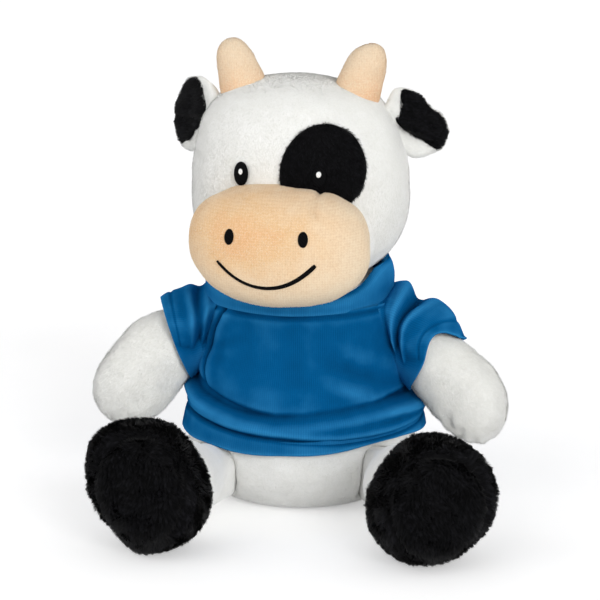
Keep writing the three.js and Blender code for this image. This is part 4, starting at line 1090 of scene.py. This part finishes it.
def shirt_radius(theta_deg, z, hem):
    """How far the knit stands out from the body's middle line at each place."""
    share = torso_share(z)
    a, b = share * TORSO_HALF[0], share * TORSO_HALF[1]
    up = np.clip((z - hem) / (SHIRT_TOP - hem), 0, 1)
    # 5.4 mm of ease at the hem, 3.4 mm at half its height and 4 mm at the neck
    ease = 5.4 - 2.0 * np.clip(2 * up, 0, 1) + 0.6 * step_up(up, 0.7, 1)
    t = np.radians(theta_deg)
    c, s = np.cos(t), np.sin(t)
    front = step_up(-s, -0.2, 0.6)
    crease, deep, proud = [around(CREASE, theta_deg, column) for column in (1, 2, 3)]
    low = around(HEM_CREASE, theta_deg)
    fold = -1.5 * deep * hump(z - crease, 1.9) - 0.5 * deep * step_up(z, crease - 0.5, crease + 1.5) \
        * hump(z - crease, 5)
    fold += 1.15 * proud * hump(z - (crease - 4.4), 3.2)
    fold += 1.6 * front * hump(z - (crease + 9.5), 7.0)
    fold += -1.9 * hump(z - low, 1.1) + 0.8 * hump(z - (low + 2.4), 1.8)
    # A slanting fold drops from the left armhole towards the belly, and one rises to the right shoulder
    x = c * a
    slant = z - (60.5 - 0.5 * (x - 20))
    fold += 1.7 * front * hump(slant + 3, 4.5) * step_up(x, 2, 26) - 1.9 * front * hump(slant - 5.5, 4) \
        * step_up(x, 6, 30) + 1.3 * front * hump(slant - 14, 5) * step_up(x, 10, 32)
    pull = z - (78 + 0.5 * (x + 20))
    fold += -0.5 * front * hump(pull, 3.0) * step_up(-x, 14, 30) * step_up(z, 60, 72)
    # Low at its right side the shirt lies close
    ease = ease - 2.6 * hump((theta_deg % 360 - 184) / 40, 1) * step_up(-z, -62, -40)
    # The raglan seams pull in, with the cloth of the front puffed beside them
    for seam, way in ((RAGLAN_LEFT, 1), (RAGLAN_RIGHT, -1)):
        seam = np.array(seam)
        beside = way * ((a + ease) * c + TORSO_MIDDLE[0] - np.interp(z, seam[:, 1], seam[:, 0]))
        ends = step_up(z, seam[0, 1] - 3, seam[0, 1] + 5) * (s < 0)
        fold = fold + ends * (0.3 * hump(beside + 2.6, 1.8) - 1.8 * hump(beside - 0.3, 0.9))
    # The neckband's seam draws the cloth in all round
    fold = fold - 1.0 * hump(z - 88.9, 1.2)
    out = np.maximum(ease + fold, 1.4)
    return a + out, b + out


def knit_piece(name, points, faces, uv):
    """A piece of the shirt, with the flat size it was cut to: the width is its way round the form, and the
    length its way along it."""
    knit = piece(f"{name}_knit", points, faces, blue_knit, "torso", name, flat_uv=uv)
    # How far each place of the cloth stands out of, or is drawn into, its smooth course, which the knit
    # paints as a highlight on ridges and as shade in folds
    normal, _, facing = normals_of(points, faces)
    relief = ((points - relaxed(points, faces, 45)) * normal).sum(1)
    relief = np.clip(0.5 + 0.5 * relief / 1.2, 0, 1)
    knit.data.attributes.new("relief", "FLOAT", "POINT").data.foreach_set("value", relief.astype(np.float32))
    return knit


def corner_uv(u, v):
    """The corners of each face on the cloth, from the places of its columns and of its rows."""
    return [[u[i + a], v[row + b]] for row in range(len(v) - 1) for i in range(len(u) - 1)
            for a, b in ((0, 0), (1, 0), (1, 1), (0, 1))]


def cloth_uv(grid):
    """Millimetres along and across the cloth at each corner of its grid."""
    across = np.linalg.norm(np.roll(grid, -1, 1) - grid, axis=2).mean(0)
    along = np.linalg.norm(np.diff(grid, axis=0), axis=2).mean(1)
    return corner_uv(np.append(0, np.cumsum(across)), np.append(0, np.cumsum(along)))


def make_shirt():
    columns = 288
    theta = np.arange(columns) / columns * 360 - 180
    hem = blurred(around(HEM_TABLE, theta), 6, 18) - 0.2 * np.sin(np.radians(theta * 9))
    rings, heights = [], []
    # The hem is turned up inside, so that the shirt's edge is two thicknesses of knit
    for up, inward in ((6.0, -1.9), (3.0, -1.9), (0.9, -1.7), (0.15, -1.1)):
        a, b = shirt_radius(theta, hem + 0.2, hem)
        rings.append((a + inward, b + inward, hem + up))
        heights.append(-up)
    levels = np.concatenate([[0.0, 0.35, 0.9], np.linspace(1.7, 63.0, 105)])
    span = SHIRT_TOP + 1.5 - hem
    for level in levels:
        z = hem + span * level / levels[-1]
        a, b = shirt_radius(theta, z, hem)
        edge = -0.9 * hump(level, 0.45)
        rings.append((a + edge, b + edge, z))
        heights.append(level)
    c, s = np.cos(np.radians(theta)), np.sin(np.radians(theta))
    x, y = TORSO_MIDDLE
    points = np.concatenate([places(x + a * c, y + b * s, z) for a, b, z in rings])
    wander = 0.4 * swell(points * [1, 1, 0.6], 24, 201) + 0.06 * swell(points, 8, 202)
    points = points + unit((points - [x, y, 0]) * [1, 1, 0]) * wander[:, None]
    girth = 2 * math.pi * 50
    knit_piece("shirt_body", points, grid_faces(len(rings), columns),
               corner_uv(np.arange(columns + 1) / columns * girth, heights))


# Six lines run down each sleeve from the raglan seam to the cuff: top, top front, front, under, back and
# top back
SLEEVE_LEFT = [
    [[36, -4, 91.5], [47, -5, 96.0], [53.5, -6, 89.6], [64.5, -9, 88.4], [70, -11, 83.5], [74.4, -13, 73.8]],
    [[37, -26, 90], [43, -25.4, 88], [49, -25, 85.4], [54.5, -25, 83.4], [59.5, -24.8, 81.4],
     [64.3, -24.4, 79.2]],
    [[43.5, -17, 66], [46.5, -21, 66.4], [49.5, -24, 67], [52.5, -26, 67.6], [55.3, -27, 68],
     [58, -27.4, 68.4]],
    [[50, -4, 50], [51, -7, 50.6], [52, -10, 51.4], [53, -12.5, 52.4], [53.9, -14.6, 53.4],
     [54.6, -16.4, 54.2]],
    [[44, 9, 66], [46, 9, 62.5], [48, 8.4, 59.4], [50, 7.4, 56.4], [52, 6, 53.8], [54, 4.4, 51.5]],
    [[37, 19, 90], [44, 16, 87], [51, 13, 82.5], [58, 9.4, 77], [63.6, 5.6, 71.4], [68.4, 2.2, 66]]]
SLEEVE_RIGHT = [
    [[-34, -4, 90.5], [-42, -6, 92.8], [-48, -7, 92.2], [-54, -8.5, 91.2], [-59, -10, 90.0],
     [-61.8, -11, 88.6]],
    [[-34, -28, 90], [-39, -28.5, 86.8], [-44, -28.4, 84], [-49, -27.6, 81.8], [-53.4, -26.4, 81.6],
     [-56.8, -25, 81.2]],
    [[-41.5, -16, 66], [-45, -20, 66.2], [-47.6, -22.6, 66.8], [-49.6, -24.4, 67.6], [-51.4, -25.2, 68.4],
     [-52.8, -25.4, 69]],
    [[-46.5, -5, 51], [-47.2, -8, 51.6], [-47.8, -10.6, 52.6], [-48.4, -13, 53.6], [-49, -15, 54.6],
     [-49.5, -16.6, 55.4]],
    [[-43, 9, 66], [-45, 9, 63], [-47, 8.4, 60.4], [-48.6, 7.4, 58], [-50, 6, 56], [-51.2, 4.6, 54.6]],
    [[-36, 18, 90], [-42, 15, 87], [-48, 12, 83.2], [-53, 9, 80.4], [-57, 6, 77.6], [-59.8, 3.8, 75.2]]]

# How each sleeve folds near the body: the valley's place along it, how far that shifts round it, its depth
# and its width, and then the height, distance and width of the ridges on the cuff's and the body's side
FOLDS_LEFT = (0.42, 0.1, 3.0, 0.06, (1.3, 0.13, 0.07), (1.2, 0.12, 0.06))
FOLDS_RIGHT = (0.40, 0.09, 2.3, 0.08, (0.9, 0.16, 0.09), (1.0, 0.16, 0.08))


def outside_arm(points, side, shoulder, drop_deg, length, radius, gap=1.7):
    """Moves knit out to where it clears the arm within it."""
    axes = arm_axes(side, drop_deg)
    q = (points - np.array(shoulder)) @ axes.T
    share = np.clip(q[:, 2] / length, -0.23, 1)
    round_here = share_at(ARM_SHARES, share) * radius + gap
    middle = ARM_BOW * np.maximum(0, share * (1 - share))
    far = np.hypot(q[:, 0], q[:, 1] - middle)
    grow = np.maximum(round_here / np.maximum(far, 1), 1)
    # only the arm's own stretch of the sleeve, not the part that lies on the body
    grow = 1 + (grow - 1) * step_up(share, -0.02, 0.16)
    q[:, 0] *= grow
    q[:, 1] = middle + (q[:, 1] - middle) * grow
    return q @ axes + np.array(shoulder)


def make_sleeve(word, arm, lines, folds):
    """The raglan sleeve: knit carried round the arm from the seam on the body to the turned-up cuff."""
    side, columns, rows = arm[0], 132, 56
    guides = np.stack([along_curve(line, rows) for line in lines], 1)
    # The six lines are joined round the sleeve by smooth waves through them
    spectrum = np.fft.rfft(guides, axis=1)
    turn = all_round(columns)
    grid = np.zeros((rows, columns, 3))
    for k in range(spectrum.shape[1]):
        factor = 1 if k in (0, 3) else 2
        grid += factor * (spectrum[:, k:k + 1, :] * np.exp(1j * k * turn)[None, :, None]).real / 6
    share = np.linspace(0, 1, rows)[:, None]
    outward = unit(grid - grid.mean(1, keepdims=True))
    # Folds gather where the sleeve meets the body and fade towards the cuff; the hem is a stitched line
    at, shift, deep, wide, outer, inner = folds
    valley = share - (at - shift * (1 - np.cos(turn)))
    fold = (outer[0] * hump(valley - outer[1], outer[2]) - deep * hump(valley, wide)
            + inner[0] * hump(valley + inner[1], inner[2])) * step_up(np.cos(turn - 1.2), -0.7, 0.3)
    if side > 0:
        fold -= hump(share - 0.08, 0.04) * step_up(np.cos(turn - 1.0), -0.2, 0.7)
    fold = fold - 0.55 * hump(share - 0.83, 0.022)
    fold = fold + 0.25 * swell(grid.reshape(-1, 3), 9, 210 + side).reshape(rows, columns)
    grid = grid + outward * fold[..., None]
    grid = outside_arm(grid.reshape(-1, 3), *arm).reshape(grid.shape)
    # The cuff's edge is turned in
    inside = [grid[-1] - outward[-1] * 0.6 + (grid[-1] - grid[-2]) * 0.25]
    inside += [grid[-k] - outward[-k] * 1.7 for k in (2, 4, 7)]
    grid = np.concatenate([grid, np.array(inside)])
    points, faces, uv = grid.reshape(-1, 3), grid_faces(len(grid), columns), cloth_uv(grid)
    _, tris, facing = normals_of(points, faces)
    if (facing * (points[tris].mean(1) - points.mean(0))).sum() < 0:
        faces = [f[::-1] for f in faces]
        uv = np.array(uv).reshape(-1, 4, 2)[:, ::-1]
    sleeve = knit_piece(f"sleeve_{word}", points, faces, uv)
    sleeve.parent = None
    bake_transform(sleeve)


# The neckband's section, from its foot up its outside and down inside: share of its height, and how far out
BAND_SECTION = [[0.0, -0.6], [-0.08, 0.35], [-0.06, 0.95], [0.06, 1.2], [0.3, 1.3], [0.6, 1.42], [0.84, 1.3],
                [0.98, 0.85], [1.03, 0.35], [1.0, -0.1], [0.9, -0.5], [0.6, -0.55], [0.25, -0.6]]


def make_neckband():
    """A double band of knit, high at the sides and back and pressed down under the muzzle."""
    columns, foot, low, high = 216, 90.7, 6.3, 16.3
    angle = all_round(columns)
    side = step_up(np.sin(angle), -0.95, -0.15)
    tall = low + (high - low) * side + 1.5 * hump(np.degrees(angle) - 335, 22) * side
    rings = []
    for up, out in along_curve(BAND_SECTION, 40):
        z = foot + up * tall
        lean = (z - foot) / high
        face = 44.3 - 2.5 * lean - 2.4 * np.abs(np.cos(angle)) * (1 - 0.5 * lean)
        head = HEAD_HALF_WIDTH * share_at(HEAD_SHARES, (z - HEAD_BOTTOM) / HEAD_HEIGHT)
        inner = np.maximum(face - 2.6, head + 0.9)
        ripple = 0.35 * np.sin(angle * 5 + 2 * up) * hump(up - 0.5, 0.4) * (0.3 + side)
        radius = inner + out * (face - inner) + ripple
        rings.append(places(radius * np.cos(angle), HEAD_AXIS[1] + radius * np.sin(angle), z))
    grid = np.array(rings)
    last = (len(rings) - 1) * columns
    faces = grid_faces(len(rings), columns)
    faces += [[last + i, last + (i + 1) % columns, (i + 1) % columns, i] for i in range(columns)]
    uv = np.concatenate([cloth_uv(grid), np.zeros((4 * columns, 2))])
    knit_piece("neckband", grid.reshape(-1, 3), faces, uv)


# ---------------------------------------------------------------- seat

def make_seat():
    """The panel under the toy, and the bag of pellets over it that weighs it down."""
    points, faces = remeshed("seat_panel", 0.7, 3)
    points[:, 2] = np.clip(points[:, 2], 0, 2)
    piece("seat_panel_cloth", points, faces, seat_cloth, "torso", "seat_panel")
    bag_shares = [[0, 0], [0, 0.82], [0.5, 1], [1, 0.82], [1, 0]]
    points, faces = lofted(bag_shares, 19.6, 19.9, 19.9, 64, 24)
    points = points + np.array([0, 5, 2.5])
    points = pushed(points, faces, 0.25 * swell(points, 6, 230) - 0.3)
    piece("pellet_bag_cloth", points, faces, bag_cloth, "torso", "pellet_bag", fill=0.5)


make_torso()
make_head()
make_horn(1, "left")
make_horn(-1, "right")
make_ear(1, "left", EAR_LEFT, LINING_LEFT, 0.21, -4.0)
make_ear(-1, "right", EAR_RIGHT, LINING_RIGHT, 0.9, 0.5)
make_arm(*ARM_LEFT, "left", 0.0, 0.08)
make_arm(*ARM_RIGHT, "right", 0.22, 0.34)
make_leg(*LEG_LEFT, "left", 14.2, 24, BOOT_LEFT_OUTLINE, (-2.5, -0.3, 20.6, 22.8))
make_leg(*LEG_RIGHT, "right", 7.4, 10, BOOT_RIGHT_OUTLINE, (0.6, 2.0, 19.4, 23.6))
make_tail()
make_shirt()
make_sleeve("left", ARM_LEFT, SLEEVE_LEFT, FOLDS_LEFT)
make_sleeve("right", ARM_RIGHT, SLEEVE_RIGHT, FOLDS_RIGHT)
make_neckband()
make_seat()


# ---------------------------------------------------------------- studio

def seen_directly(tree):
    """1 for what the camera sees, straight or in a gloss, and 0 for light on its way round the toy."""
    path = knot(tree, "ShaderNodeLightPath")
    seen = path.outputs["Is Camera Ray"]
    for ray in ("Is Glossy Ray", "Is Transmission Ray"):
        seen = knot(tree, "ShaderNodeMath", {"operation": "MAXIMUM"}, i0=seen,
                    i1=path.outputs[ray]).outputs[0]
    return seen


def make_studio():
    """A seamless white table, a broad soft lamp high at the right and soft light all round."""
    mesh = bpy.data.meshes.new("studio_table")
    mesh.from_pydata([(-6, -6, 0), (6, -6, 0), (6, 6, 0), (-6, 6, 0)], [], [(0, 1, 2, 3)])
    # White painted board, its coat a little uneven in patches 30 mm wide
    material, tree = new_material("painted_board_white")
    coat = knot(tree, "ShaderNodeTexNoise", Vector=knot(tree, "ShaderNodeTexCoord").outputs["Object"],
                Scale=1 / (30 * MM), Detail=3.0, Roughness=0.55)
    colour = knot(tree, "ShaderNodeValToRGB", {"stops": ((0.3, "#fafafa"), (0.7, "#fcfcfc"))},
                  Fac=coat.outputs["Fac"])
    board = knot(tree, "ShaderNodeBsdfPrincipled", Roughness=0.9, Specular_IOR_Level=0.1,
                 Base_Color=colour.outputs[0])
    # The camera sees the table as white as the air behind it, with the toy's shadow kept
    lift = knot(tree, "ShaderNodeMath", {"operation": "MULTIPLY"}, i0=seen_directly(tree), i1=0.32)
    whiter = knot(tree, "ShaderNodeEmission", Color=(1, 1, 1, 1), Strength=lift.outputs[0])
    both = knot(tree, "ShaderNodeAddShader", i0=board.outputs[0], i1=whiter.outputs[0])
    knot(tree, "ShaderNodeOutputMaterial", Surface=both.outputs[0])
    mesh.materials.append(material)
    placed("studio_table", mesh)

    # The lamp, and a white board at the left that throws some of its light back: strength, angle, direction
    for name, energy, wide_deg, towards in (("softbox", 1.4, 30, (0.62, -1.0, 0.43)),
                                            ("white_board", 1.0, 80, (-1.0, -0.75, 0.35))):
        light = bpy.data.lights.new(name, "SUN")
        light.energy, light.angle = energy, math.radians(wide_deg)
        placed(name, light).rotation_euler = Vector(towards).to_track_quat("Z", "Y").to_euler()

    world = bpy.data.worlds.new("studio_air")
    bpy.context.scene.world = world
    world.use_nodes = True
    tree = world.node_tree
    tree.nodes.clear()
    light_around = knot(tree, "ShaderNodeBackground", Color=linear("#fafafb"), Strength=0.56)
    backdrop = knot(tree, "ShaderNodeBackground", Color=(1, 1, 1, 1), Strength=1.0)
    mixed = knot(tree, "ShaderNodeMixShader", i0=seen_directly(tree), i1=light_around.outputs[0],
                 i2=backdrop.outputs[0])
    knot(tree, "ShaderNodeOutputWorld", Surface=mixed.outputs[0])
    bpy.context.scene.view_settings.view_transform = "Standard"


def make_camera():
    """The photograph's place: 1.1 m off, 14 degrees above the toy and 6 degrees to its left."""
    azimuth, height = math.radians(6), math.radians(14)
    back = Vector((math.sin(azimuth) * math.cos(height), -math.cos(azimuth) * math.cos(height),
                   math.sin(height)))
    right = Vector((math.cos(azimuth), math.sin(azimuth), 0))
    up = back.cross(right)
    data = bpy.data.cameras.new("camera")
    data.sensor_fit = "HORIZONTAL"
    data.sensor_width = 36
    # The photograph is 600 pixels wide, and its focal length is 2444 of them
    data.lens = data.sensor_width * 2444 / 600
    data.clip_start, data.clip_end = 0.05, 30
    camera = placed("camera", data)
    looked_at = Vector((0, 0, 0.086))
    camera.matrix_world = Matrix.Translation(looked_at + back * 1.1) \
        @ Matrix((right, up, back)).transposed().to_4x4()
    bpy.context.scene.camera = camera


make_studio()
make_camera()

bpy.context.view_layer.update()
